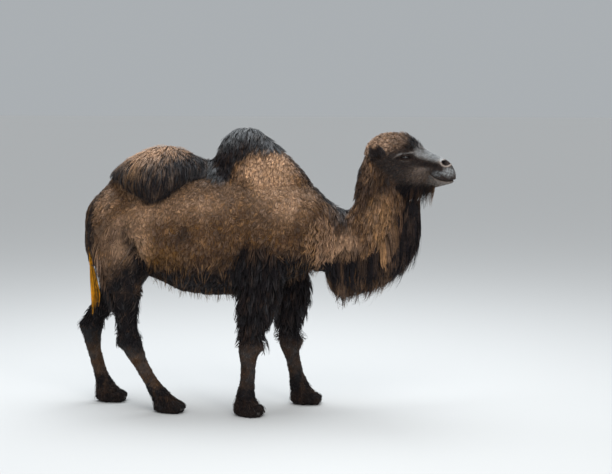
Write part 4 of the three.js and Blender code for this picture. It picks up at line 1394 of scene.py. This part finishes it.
def drape(name, hide, count, rng, length, steps, inside, end, often=2.0):
    """Locks over a hanging solid, with roots a little inside it, that fall and end in ragged points.

    `end` lets tips pass the solid's lower edge by up to that much, the more of them the lower `often` is.
    """
    tree, corners, areas, facing = outer_shell(name)
    chosen = rng.choice(len(areas), count, p=areas / areas.sum())
    place = scattered(corners[chosen], rng)
    normal = facing[chosen]
    # Faces that lie against the flesh grow nothing, and the lower edge grows fewer and shorter locks.
    outer, = found(hide.tree, place + normal * 0.01, AWAY)
    inner, = found(hide.tree, place, AWAY)
    edge = 0.035 + 0.02 * mottle(place * [1, 0, 0], 0.055)
    low = place[:, 2] - lowest(tree, place) < edge
    free = (outer > inner) & (~low | (rng.random(count) < (0.6 if often > 1 else 0.9)))
    place, normal, low = place[free], normal[free], low[free]
    n = len(place)
    length = length * rng.uniform(0.6, 1.3, n) * np.where(low & (often > 1), 0.5, 1.0)
    sunk = inside * rng.random(n)[:, None]
    # Tips reach farther where a lock ends than between two locks.
    lock = np.clip(0.5 + 0.9 * mottle(place * [1, 0, 0], 0.05), 0, 1)
    reach = LOCK_GAP + end * lock * rng.random(n) ** often
    paths, norms = [place - normal * (sunk + 0.004)], [normal]
    here = place
    for step in range(1, steps + 1):
        along = DOWN - normal * np.sum(DOWN * normal, 1, keepdims=True)
        ahead = here + unit(along * 0.75 + DOWN * 0.5) * (length / steps)[:, None]
        near, normal_now = found(tree, ahead, PLACE, NORMAL)
        gap = np.sum((ahead - near) * normal_now, 1)
        below = soft(-normal_now[:, 2], 0.1, 0.6)
        out = np.minimum(gap, LOCK_GAP + (reach - LOCK_GAP) * below)[:, None]
        here = np.where((gap > 0)[:, None], near + normal_now * out, near)
        paths.append(here - normal_now * sunk * (1 - step / steps))
        normal = unit(normal * 0.6 + normal_now * 0.4)
        norms.append(normal)
    return np.stack(paths, 1), np.stack(norms, 1)


def mane_marks(places, stray, low):
    """Markings of the mane: dark down the throat, brown below with darker and paler streaks."""
    throat = soft(places[:, 0] + 0.25 * (places[:, 2] - 1.2), 0.86, 0.98)
    streak = mottle(places * [1, 1, 0.15], 0.11)
    dark = 0.88 + 0.14 * throat + 0.26 * streak * (1 - throat) + stray - low
    tan = np.clip(0.34 - 0.2 * streak, 0, 1)
    gold = np.clip(0.08 + 0.12 * streak, 0, 1) * (1 - throat)
    return np.clip(np.stack([tan, dark, gold, np.zeros(len(places))], 1), 0, 1)


def curtain(hide, coat, rng, share):
    """Long locks from the sides of the neck that fall over the mane, so that the one flows into the other."""
    steps = 5
    tree = outer_shell("mane")[0]
    near, = found(tree, hide.centres, AWAY)
    beside_mane = (near < 0.10) & (np.abs(hide.facing(1)) > 0.25) & (hide.centres[:, 2] < 1.5)
    weight = hide.of("neck", "trunk") * beside_mane
    roots, faces = hide.roots(weight, int(coat.triangles * share / triangles_of(steps)), rng)
    n = len(roots)
    fall = np.clip(roots[:, 2] - lowest(tree, roots), 0.06, 0.34) * rng.uniform(0.45, 1.0, n)
    normal = unit(hide.mean(hide.normals, faces))
    paths = [roots - normal * 0.003]
    for step in range(1, steps + 1):
        part = step / steps
        here = roots + normal * [1, 1, 0.3] * 0.022 * math.sin(part * 2.2) + DOWN * (fall * part)[:, None]
        on, = found(tree, here, PLACE)
        gap = np.linalg.norm(here - on, axis=1, keepdims=True)
        kept = on + (here - on) * np.minimum(1, 0.010 / np.maximum(gap, 1e-6))
        skin, face = found(hide.tree, here, PLACE, TRIANGLE)
        clear = np.sum((here - skin) * unit(hide.mean(hide.normals, face)), 1, keepdims=True) > 0.012
        paths.append(here + (kept - here) * np.where(clear, soft(part, 0.15, 0.9), 0))
    paths = np.stack(paths, 1)
    norms = np.repeat(unit(normal * [1, 1, 0.2])[:, None], steps + 1, 1)
    paths, own = gather(paths, norms, 9, 0.7, rng, wave=0.008, turns=1.4)
    half = rng.uniform(0.0026, 0.0048, n)
    marks = hide.mean(hide.marks, faces) * [0.8, 1, 0.8, 0] + rng.normal(0, 0.1, (n, 4))[own]
    marks[:, 1] += (0.9 * rng.random(n) ** 0.8)[own]
    tone = lock_tones(rng, n, own)
    return tufts(paths, norms, half, half * 0.5, np.clip(marks * [1, 1, 1, 0], 0, 1), tone, rng.random(n),
                 unwrap_neck(roots), 0.2)


def make_mane(coat, colours):
    """Long locks under the neck and down the throat."""
    hide = Hide()
    rng = np.random.default_rng(coat.seed + 40)
    batches = []
    for share, length, end, often, widths, lock, low_paler in MANE_LOCKS:
        count = int(coat.triangles * share / triangles_of(4) * 1.6)
        paths, norms = drape("mane", hide, count, rng, length, 4, 0.016, end, often)
        paths, own = gather(paths, norms, lock, 0.8, rng, wave=0.005, turns=1.2)
        n = len(paths)
        low = low_paler * fade(paths[:, -1, 2], 0.88, 1.0)
        marks = mane_marks(paths[:, 0], rng.normal(0, 0.12, n)[own], low)
        half = rng.uniform(*widths, n)
        tone = lock_tones(rng, n, own)
        uv = unwrap_neck(paths[:, 0])
        batches.append(tufts(paths, norms, half, half * 0.5, marks, tone, rng.random(n), uv, 0.1))
    batches.append(curtain(hide, coat, rng, 0.3))
    hair_piece("mane_locks", batches, hair_of("long_hair", colours), ["mane"])


def lashes(rng, side):
    """Dark lashes along the upper lid, and short ones along the lower."""
    centre, outward, forward, upward = eye_axes(side)
    rows = []
    for count, sign, edge, length, curve in (
            (90, 1, SLIT_TOP, 0.020, 0.25), (40, -1, SLIT_BOTTOM, 0.009, -0.2)):
        u = rng.uniform(-0.027, 0.029, count)
        v = edge * (1 - (u / 0.031) ** 2) ** 0.6 + sign * 0.0008
        w = np.sqrt((EYE_RADIUS + 0.0025) ** 2 - u ** 2 - v ** 2) - 0.001
        root = centre + u[:, None] * forward + v[:, None] * upward + w[:, None] * outward
        spread = rng.normal(0, 0.08, (count, 3))
        way = unit(outward * 0.9 + forward * (u * 14)[:, None] - upward * 0.22 * sign + spread)
        reach = length * rng.uniform(0.7, 1.15, count)[:, None]
        rows.append(np.stack([root + way * reach * s + upward * curve * reach * s * s
                              for s in (0, 0.35, 0.7, 1.0)], 1))
    paths = np.concatenate(rows)
    n = len(paths)
    norms = np.broadcast_to(upward, paths.shape).copy()
    dark = np.tile([0.0, 1.0, 0.0, 0.0], (n, 1))
    return tufts(paths, norms, np.full(n, 0.0009), np.full(n, 0.0005), dark, rng.random(n), rng.random(n),
                 unwrap_head(paths[:, 0]))


def make_head_coat(coat, colours):
    """Short fur, curly cap, forelock, ear fringes, beard and lashes, in one piece for each side."""
    hide = Hide()
    cap = cap_share(hide.centres, hide.shares)
    slit = np.max([eye_depth(hide.centres, side) for _, side in SIDES], 0)
    pit = np.min([nostril(hide.centres, side) for _, side in SIDES], 0)
    gap, lips = mouth(hide.centres)
    furred = hide.of("head", "jaw") * (slit < -0.0025) * (pit > 1.1) * ((np.abs(gap) > 1.2) | (lips < 0.5))
    bare = np.maximum(bare_share(hide.centres, hide.shares), soft(slit, -0.03, -0.012))
    x, y, z = hide.centres.T
    for word, side in SIDES:
        rng = np.random.default_rng(coat.seed + 50 + side)
        lay = partial(coat_batch, hide, coat, rng, unwrap_head)
        here = y * side > 0
        front = cap * here * soft(x, 0.98, 1.05) * soft(z, 1.86, 1.9)
        under = (z < BEARD_UNDER) * (hide.facing(2) < -0.1)
        chin = hide.of("jaw", "head") * here * under * (x < TEAR_END[0] - 0.005) * (x > CHEEK[0] - 0.16)
        fur = lay(furred * (1 - cap) * (1 - bare) * here, 0.42, steps=2, locks=4, pull=0.35)
        down = lay(furred * bare * here, 0.11, scale=0.5, steps=2, locks=3, pull=0.2, fine=0.5, puff=0.6)
        curls = lay(cap * here, 0.16, scale=2.4, locks=9, pull=0.8, curl=1.4, fine=1.5, puff=2.9)
        forelock = lay(front, 0.06, scale=3.0, steps=4, locks=8, pull=0.7, curl=0.7, fine=1.4, puff=5.0,
                       loose=0.02)
        ears = lay(hide.of("ear") * here, 0.12, scale=1.45, pull=0.5, curl=0.35, loose=0.05, puff=3.0)
        beard = lay(chin, 0.05, scale=5.0, steps=4, locks=8, pull=0.75, curl=0.1, hang=0.6, loose=0.09,
                    fine=1.2)
        wisps = lay(chin * soft(x, 1.02, 1.08), 0.025, scale=9.0, steps=5, locks=9, pull=0.85, curl=0.08,
                    hang=0.85, loose=0.14)
        recolour(beard, [0, 0.3, 0, 0], [0.6, 1, 1, 0])
        recolour(wisps, [0, 0, 0, 0], [0.6, 1, 1, 0])
        recolour(forelock, [0.05, 0.15, 0, 0])
        batches = [fur, down, curls, forelock, ears, beard, wisps, lashes(rng, side)]
        hair_piece("coat_head_" + word, batches, hair_of("short_fur", colours))


def make_leg_coat(coat, colours):
    """Shaggy hair on the forearms and thighs, short fur below the knees and on the feet."""
    hide = Hide()
    rng = np.random.default_rng(coat.seed + 60)
    z = hide.centres[:, 2]
    off_sole = (z > 0.012) & ((z > 0.03) | (hide.facing(2) > -0.2))
    over_foot = off_sole * soft(z, 0.045, 0.075) * fade(z, 0.135, 0.165)

    def over_knee(places):
        """The level that the forearms' hair ends at, under each place."""
        return np.minimum(places[:, 2] - 0.02, OVER_KNEE)

    def low_leg(shank, share):
        """Short fur on the shanks and feet, and longer hair over the toes."""
        return [lay(shank * off_sole, share, steps=2, locks=6, pull=0.5, puff=1.1),
                lay(shank * over_foot, 0.05, scale=2.6, pull=0.6, curl=0.4, hang=0.3, loose=0.012, puff=3.4)]

    lay = partial(coat_batch, hide, coat, rng, partial(unwrap_legs, names=FORELEGS))
    ragged = hide.of("forearm") * fade(z, 0.74, 0.86) * (np.abs(hide.facing(0)) > 0.4)
    shag = lay(hide.of("forearm"), 0.5, locks=9, pull=0.75, curl=0.2, hang=0.4, loose=0.035, puff=1.6,
               limit=over_knee)
    points = lay(ragged, 0.05, scale=1.1, steps=4, locks=10, pull=0.9, curl=0.15, hang=0.5, loose=0.06,
                 puff=2.2)
    batches = [shag, points, *low_leg(hide.of("fore_cannon", "fore_foot"), 0.42)]
    hair_piece("coat_forelegs", batches, hair_of("long_hair", colours))

    lay = partial(coat_batch, hide, coat, rng, partial(unwrap_legs, names=HINDLEGS))
    rear = hide.of("thigh") * soft(-hide.facing(0), 0.40, 0.65) * soft(z, 0.76, 0.84) * fade(z, 1.14, 1.28)
    edge = hide.of("thigh", "hind_cannon") * (z < 0.9) * (z > 0.45) * (np.abs(hide.facing(0)) > 0.5)
    shag = lay(hide.of("thigh"), 0.46, locks=9, pull=0.6, curl=0.4, hang=0.15, loose=0.01)
    breech = lay(rear, 0.09, scale=3.2, steps=4, locks=10, pull=0.6, curl=0.15, hang=0.55, loose=0.055,
                 puff=3.4)
    hock = lay(edge, 0.04, scale=1.5, locks=8, pull=0.7, curl=0.2, hang=0.3, loose=0.02, puff=2.2)
    batches = [shag, breech, hock, *low_leg(hide.of("hind_cannon", "hind_foot"), 0.40)]
    hair_piece("coat_hindlegs", batches, hair_of("wool", colours))


def make_tail_hair(coat, colours):
    """Dark hair down the dock, and amber strands that leave it and hang in three tails."""
    hide = Hide()
    rng = np.random.default_rng(coat.seed + 70)
    low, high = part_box("tail_tuft")
    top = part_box("tail_dock")[1].z
    unwrap = partial(cylinder, start=(high.x, 0, top), end=((low.x + high.x) / 2, 0, low.z))
    lay = partial(coat_batch, hide, coat, rng, unwrap)
    dock = lay(hide.of("dock"), 0.16, scale=1.3, locks=6, pull=0.6, hang=0.7, loose=0.02, puff=1.9)
    recolour(dock, np.outer(dock["tone"] - 0.35, [0.5, -0.7, 0.1, 0.05]))

    steps = 5
    n = int(coat.triangles * 0.26 / triangles_of(steps))
    tail = rng.choice(3, n, p=(0.40, 0.22, 0.38))
    start_z = high.z + 0.12 - 0.30 * np.abs(rng.beta(1.2, 1.8, n))
    end_z = low.z + np.array([0.0, 0.11, 0.06])[tail] + np.abs(rng.normal(0, 0.05, n))
    end_z = np.minimum(end_z, start_z - 0.12)
    shares = np.linspace(0, 1, steps + 1)[None, :]
    z = start_z[:, None] + (end_z - start_z)[:, None] * shares
    # The bundle's middle, girth and parting at levels up the tail.
    levels = [low.z, low.z + 0.16, high.z - 0.1, high.z + 0.01, high.z + 0.13]
    axis = np.interp(z, levels, [low.x + 0.050, low.x + 0.058, low.x + 0.046, low.x + 0.034, low.x + 0.022])
    out_y = np.interp(z, levels, [-0.012, -0.020, -0.030, -0.040, -0.046])
    girth = np.interp(z, levels, [0.35, 1.0, 0.9, 0.5, 0.25])
    parting = np.array([-0.020, 0.004, 0.025])[tail]
    parted = parting[:, None] * np.interp(z, levels, [0.8, 1.0, 0.65, 0.2, 0.0])
    around = rng.uniform(0, 2 * np.pi, n)
    radius = 0.012 * np.sqrt(rng.random(n))
    x = axis + np.cos(around)[:, None] * radius[:, None] * girth + parted
    y = out_y + np.sin(around)[:, None] * radius[:, None] * girth + rng.normal(0, 0.003, n)[:, None] * shares
    out = unit(np.stack([np.cos(around), np.sin(around), np.zeros(n)], 1))
    norms = np.repeat(out[:, None], steps + 1, 1)
    paths, own = gather(np.stack([x, y, z], 2), norms, 22, 0.6, rng)
    brown = np.clip(np.where(rng.random(n)[own] < 0.26, 0.92, 0.02) + rng.normal(0, 0.08, n), 0, 1)
    marks = np.stack([np.full(n, 0.3), brown, np.full(n, 1.0), np.zeros(n)], 1)
    half = rng.uniform(0.0010, 0.0021, n)
    tone = 0.15 + 0.4 * rng.beta(1.5, 1.5, n) + 0.6 * rng.beta(1.1, 1.1, n)[own]
    amber = tufts(paths, norms, half, half * 0.6, marks, tone, rng.random(n), unwrap(paths[:, 0]), 0.45)
    hair_piece("tail_hair", [dock, amber], hair_of("long_hair", colours), ["tail_tuft"])


# --- Eyes and nails --------------------------------------------


def eye_material(colours):
    """Wet brown eye with a wide dark pupil."""
    material, tree, shader = new_material("eye")
    pupil = add_node(tree, "ShaderNodeAttribute", attribute_name="pupil").outputs["Fac"]
    speckle = noise(tree, add_node(tree, "ShaderNodeTexCoord").outputs["Object"], 320.0, 2.0)
    iris = mix(tree, speckle, (*colours.iris, 1), (*[c * 0.35 for c in colours.iris], 1))
    plug(tree, shader, {
        "Base Color": mix(tree, pupil, iris, (0.004, 0.003, 0.003, 1)),
        "Roughness": 0.12, "Specular IOR Level": 0.4, "Coat Weight": 1.0, "Coat Roughness": 0.02,
    })
    return material


def make_eyes(colours):
    """Round eyeballs with a slight cornea, set under the lids."""
    material = eye_material(colours)
    for word, side in SIDES:
        centre, outward = eye_axes(side)[:2]
        ball = bmesh.new()
        bmesh.ops.create_uvsphere(ball, u_segments=48, v_segments=32, radius=EYE_RADIUS)
        turn = Vector((0, 0, 1)).rotation_difference(Vector(outward)).to_matrix()
        bmesh.ops.rotate(ball, verts=ball.verts, matrix=turn)
        for vertex in ball.verts:
            vertex.co *= float(cornea(vertex.co.normalized().dot(Vector(outward))))
        bmesh.ops.translate(ball, verts=ball.verts, vec=Vector(centre))
        mesh = mesh_of(ball, "eyeball_" + word)
        u, v, _ = eye_view(read(mesh.vertices, "co", 3), side)
        pupil = 1 - soft(np.hypot(u / 0.0125, v / 0.0075), 0.85, 1.1)
        rim = soft(np.hypot(u, v), 0.017, 0.021)
        set_attribute(mesh, "pupil", "FLOAT", np.maximum(pupil, rim * 0.8))
        add_piece("eyeball_" + word, mesh, material, ["eye_" + word])


def nail_material():
    """Dull horn with growth lines."""
    material, tree, shader = new_material("horn")
    place = add_node(tree, "ShaderNodeTexCoord").outputs["Object"]
    wave = {"Vector": place, "Scale": 90.0, "Distortion": 3.0, "Detail": 2.0}
    lines = add_node(tree, "ShaderNodeTexWave", wave, bands_direction="Z").outputs["Fac"]
    bump = add_node(tree, "ShaderNodeBump", {"Height": lines, "Distance": 0.0004, "Strength": 0.5})
    plug(tree, shader, {
        "Base Color": mix(tree, lines, (0.016, 0.013, 0.012, 1), (0.05, 0.042, 0.036, 1)),
        "Normal": bump.outputs["Normal"], "Roughness": 0.42,
    })
    return material


def make_nails():
    """Rounded nails at the tips of the toes."""
    material = nail_material()
    for name in [foot + "_nail_" + word for foot in FEET for word, _ in SIDES]:
        nail = merged_solid(name, 0.0)
        inward = middle(name.split("_nail_")[0]) - middle(name)
        bmesh.ops.translate(nail, verts=nail.verts, vec=Vector(unit(inward * [1, 1, 0]) * 0.006))
        bmesh.ops.subdivide_edges(nail, edges=nail.edges, cuts=1, use_grid_fill=True)
        for _ in range(3):
            bmesh.ops.smooth_vert(nail, verts=nail.verts, factor=0.5, use_axis_x=True, use_axis_y=True,
                                  use_axis_z=True)
        add_piece(name + "_horn", mesh_of(nail, name + "_horn"), material, [name])


# --- Stage -----------------------------------------------------


def floor_material(colour):
    """Plain pale surface that shows its own colour to the camera and keeps the shadow."""
    material, tree, shader = new_material("pale_floor")
    plug(tree, shader, {"Base Color": (*colour, 1), "Roughness": 0.95, "Specular IOR Level": 0.1})
    return material


def make_world(strength):
    """Soft light from all round, with a plain grey where the camera or a mirroring surface sees it."""
    world = bpy.data.worlds.new("studio")
    world.use_nodes = True
    tree = world.node_tree
    fill = tree.nodes["Background"]
    plug(tree, fill, {"Color": (0.90, 0.94, 0.98, 1), "Strength": strength})
    plain = add_node(tree, "ShaderNodeBackground", {"Color": (0.405, 0.43, 0.45, 1), "Strength": 1.0})
    path = add_node(tree, "ShaderNodeLightPath").outputs
    seen = path["Is Camera Ray"]
    for ray in ("Is Glossy Ray", "Is Transmission Ray"):
        seen = calculate(tree, "MAXIMUM", seen, path[ray])
    blend = add_node(tree, "ShaderNodeMixShader", {0: seen, 1: fill.outputs[0], 2: plain.outputs[0]})
    plug(tree, tree.nodes["World Output"], {"Surface": blend.outputs[0]})
    bpy.context.scene.world = world


def make_stage(stage):
    """Pale floor, soft light all round with a broad lamp above, and the camera."""
    ground = bmesh.new()
    bmesh.ops.create_grid(ground, x_segments=1, y_segments=1, size=60)
    mesh = mesh_of(ground, "floor")
    mesh.materials.append(floor_material(stage.floor))
    new_object("floor", mesh)
    make_world(stage.fill)

    for name, (place, size, colour) in LAMPS.items():
        light = bpy.data.lights.new(name, "AREA")
        light.size = size
        light.energy = getattr(stage, name)
        light.color = colour
        lamp = new_object(name, light)
        lamp.location = place
        lamp.rotation_euler = (LIT - Vector(place)).to_track_quat("-Z", "Y").to_euler()

    lens = bpy.data.cameras.new("camera")
    lens.sensor_width = SENSOR
    lens.lens = stage.lens
    lens.clip_end = 200
    camera = new_object("camera", lens)
    azimuth, elevation = stage.azimuth, stage.elevation
    back = Vector((math.sin(azimuth) * math.cos(elevation), -math.cos(azimuth) * math.cos(elevation),
                   math.sin(elevation)))
    low, high = CAD_BOX
    aim = Vector((low.x + (high.x - low.x) * AIM[0], 0, high.z * AIM[1]))
    camera.location = aim + back * stage.distance
    camera.rotation_euler = (-back).to_track_quat("-Z", "Y").to_euler()
    bpy.context.scene.camera = camera
    bpy.context.scene.view_settings.view_transform = "Standard"


# --- Add-on ----------------------------------------------------


class CamelSkinSizes(PropertyGroup):
    """Settings of the skin"""
    voxel: FloatProperty(name="Shell step", description="Size of the shell's faces", default=0.0168,
                         unit="LENGTH")
    evening: IntProperty(name="Evening", description="Rounds of evening on the large forms", default=22)


class CamelCoat(PropertyGroup):
    """Settings of the coat"""
    triangles: IntProperty(name="Triangles", description="Triangles in a full piece of coat", default=152000)
    length: FloatProperty(name="Length", description="Length of the hair, as a share of its usual one",
                          default=1.0)
    seed: IntProperty(name="Seed", description="Start of the random numbers", default=5)


class CamelColours(PropertyGroup):
    """Colours of the coat and the eyes"""
    brown: FloatVectorProperty(name="Brown", description="Most of the coat", subtype="COLOR",
                               default=(0.100, 0.050, 0.026))
    tan: FloatVectorProperty(name="Tan", description="Shoulder and flanks", subtype="COLOR",
                             default=(0.57, 0.350, 0.215))
    dark: FloatVectorProperty(name="Dark", description="Crests, mane and legs", subtype="COLOR",
                              default=(0.0085, 0.0056, 0.0068))
    gold: FloatVectorProperty(name="Gold", description="End of the tail", subtype="COLOR",
                              default=(0.74, 0.315, 0.012))
    # Grey also paints the sheen on hair that faces up, and the highlights along the eyes' folds.
    grey: FloatVectorProperty(name="Grey", description="Nose and lips", subtype="COLOR",
                              default=(0.46, 0.485, 0.495))
    iris: FloatVectorProperty(name="Iris", description="Iris of the eye", subtype="COLOR",
                              default=(0.022, 0.011, 0.006))


class CamelStage(PropertyGroup):
    """Floor, lights and camera"""
    floor: FloatVectorProperty(name="Floor", description="Colour of the floor", subtype="COLOR",
                               default=(0.60, 0.60, 0.59))
    fill: FloatProperty(name="Fill", description="Light from all round", default=0.76)
    key: FloatProperty(name="Key", description="Broad lamp in front", default=170.0, unit="POWER")
    top: FloatProperty(name="Top", description="Broad lamp above", default=380.0, unit="POWER")
    front: FloatProperty(name="Front", description="Lamp that lights the face", default=70.0, unit="POWER")
    azimuth: FloatProperty(name="Azimuth", description="Camera's turn round the animal",
                           default=math.radians(6.0), subtype="ANGLE")
    elevation: FloatProperty(name="Elevation", description="Camera's height as an angle",
                             default=math.radians(6.4), subtype="ANGLE")
    distance: FloatProperty(name="Distance", description="Camera's distance", default=11.0, unit="LENGTH")
    lens: FloatProperty(name="Focal length", description="Focal length of the lens in millimetres",
                        default=91.764706, unit="CAMERA")


class CAMEL_OT_skin(Operator):
    """Make the skin in one piece"""
    bl_idname = "camel.skin"
    bl_label = "Skin"

    def execute(self, context):
        make_skin(context.scene.camel_skin, context.scene.camel_colours)
        return {"FINISHED"}


class CAMEL_OT_eyes(Operator):
    """Make the eyeballs"""
    bl_idname = "camel.eyes"
    bl_label = "Eyes"

    def execute(self, context):
        make_eyes(context.scene.camel_colours)
        return {"FINISHED"}


class CAMEL_OT_nails(Operator):
    """Make the nails"""
    bl_idname = "camel.nails"
    bl_label = "Nails"

    def execute(self, context):
        make_nails()
        return {"FINISHED"}


class CAMEL_OT_trunk_coat(Operator):
    """Lay the wool on the trunk"""
    bl_idname = "camel.trunk_coat"
    bl_label = "Trunk coat"

    def execute(self, context):
        make_trunk_coat(context.scene.camel_coat, context.scene.camel_colours)
        return {"FINISHED"}


class CAMEL_OT_hump_coat(Operator):
    """Lay the long hair on the humps"""
    bl_idname = "camel.hump_coat"
    bl_label = "Hump coat"

    def execute(self, context):
        make_hump_coat(context.scene.camel_coat, context.scene.camel_colours)
        return {"FINISHED"}


class CAMEL_OT_neck_coat(Operator):
    """Lay the wool on the neck"""
    bl_idname = "camel.neck_coat"
    bl_label = "Neck coat"

    def execute(self, context):
        make_neck_coat(context.scene.camel_coat, context.scene.camel_colours)
        return {"FINISHED"}


class CAMEL_OT_mane(Operator):
    """Hang the mane under the neck"""
    bl_idname = "camel.mane"
    bl_label = "Mane"

    def execute(self, context):
        make_mane(context.scene.camel_coat, context.scene.camel_colours)
        return {"FINISHED"}


class CAMEL_OT_head_coat(Operator):
    """Lay the fur on the head"""
    bl_idname = "camel.head_coat"
    bl_label = "Head coat"

    def execute(self, context):
        make_head_coat(context.scene.camel_coat, context.scene.camel_colours)
        return {"FINISHED"}


class CAMEL_OT_leg_coat(Operator):
    """Lay the hair on the legs"""
    bl_idname = "camel.leg_coat"
    bl_label = "Leg coat"

    def execute(self, context):
        make_leg_coat(context.scene.camel_coat, context.scene.camel_colours)
        return {"FINISHED"}


class CAMEL_OT_tail_hair(Operator):
    """Hang the hair of the tail"""
    bl_idname = "camel.tail_hair"
    bl_label = "Tail hair"

    def execute(self, context):
        make_tail_hair(context.scene.camel_coat, context.scene.camel_colours)
        return {"FINISHED"}


class CAMEL_OT_stage(Operator):
    """Set the floor, the lights and the camera"""
    bl_idname = "camel.stage"
    bl_label = "Stage"

    def execute(self, context):
        make_stage(context.scene.camel_stage)
        return {"FINISHED"}


OPERATORS = (CAMEL_OT_skin, CAMEL_OT_eyes, CAMEL_OT_nails, CAMEL_OT_trunk_coat, CAMEL_OT_hump_coat,
             CAMEL_OT_neck_coat, CAMEL_OT_mane, CAMEL_OT_head_coat, CAMEL_OT_leg_coat, CAMEL_OT_tail_hair,
             CAMEL_OT_stage)
GROUPS = (("camel_skin", CamelSkinSizes), ("camel_coat", CamelCoat), ("camel_colours", CamelColours),
          ("camel_stage", CamelStage))


class CAMEL_PT_panel(Panel):
    """Pieces of the camel and their settings"""
    bl_idname = "CAMEL_PT_panel"
    bl_label = "Camel"
    bl_space_type = "VIEW_3D"
    bl_region_type = "UI"
    bl_category = "Camel"

    def draw(self, context):
        for name, group in GROUPS:
            column = self.layout.column(align=True)
            for title in group.__annotations__:
                column.prop(getattr(context.scene, name), title)
        for operator in OPERATORS:
            self.layout.operator(operator.bl_idname)


def register():
    """Adds the settings, the operators and the panel."""
    for _, group in GROUPS:
        bpy.utils.register_class(group)
    for name, group in GROUPS:
        setattr(bpy.types.Scene, name, PointerProperty(type=group))
    for operator in (*OPERATORS, CAMEL_PT_panel):
        bpy.utils.register_class(operator)


def unregister():
    """Takes the panel, the operators and the settings away."""
    for operator in (*OPERATORS, CAMEL_PT_panel):
        bpy.utils.unregister_class(operator)
    for name, group in GROUPS:
        delattr(bpy.types.Scene, name)
        bpy.utils.unregister_class(group)


def main():
    """Makes every piece in order."""
    register()
    for operator in OPERATORS:
        area, name = operator.bl_idname.split(".")
        getattr(getattr(bpy.ops, area), name)()


if __name__ == "__main__":
    main()
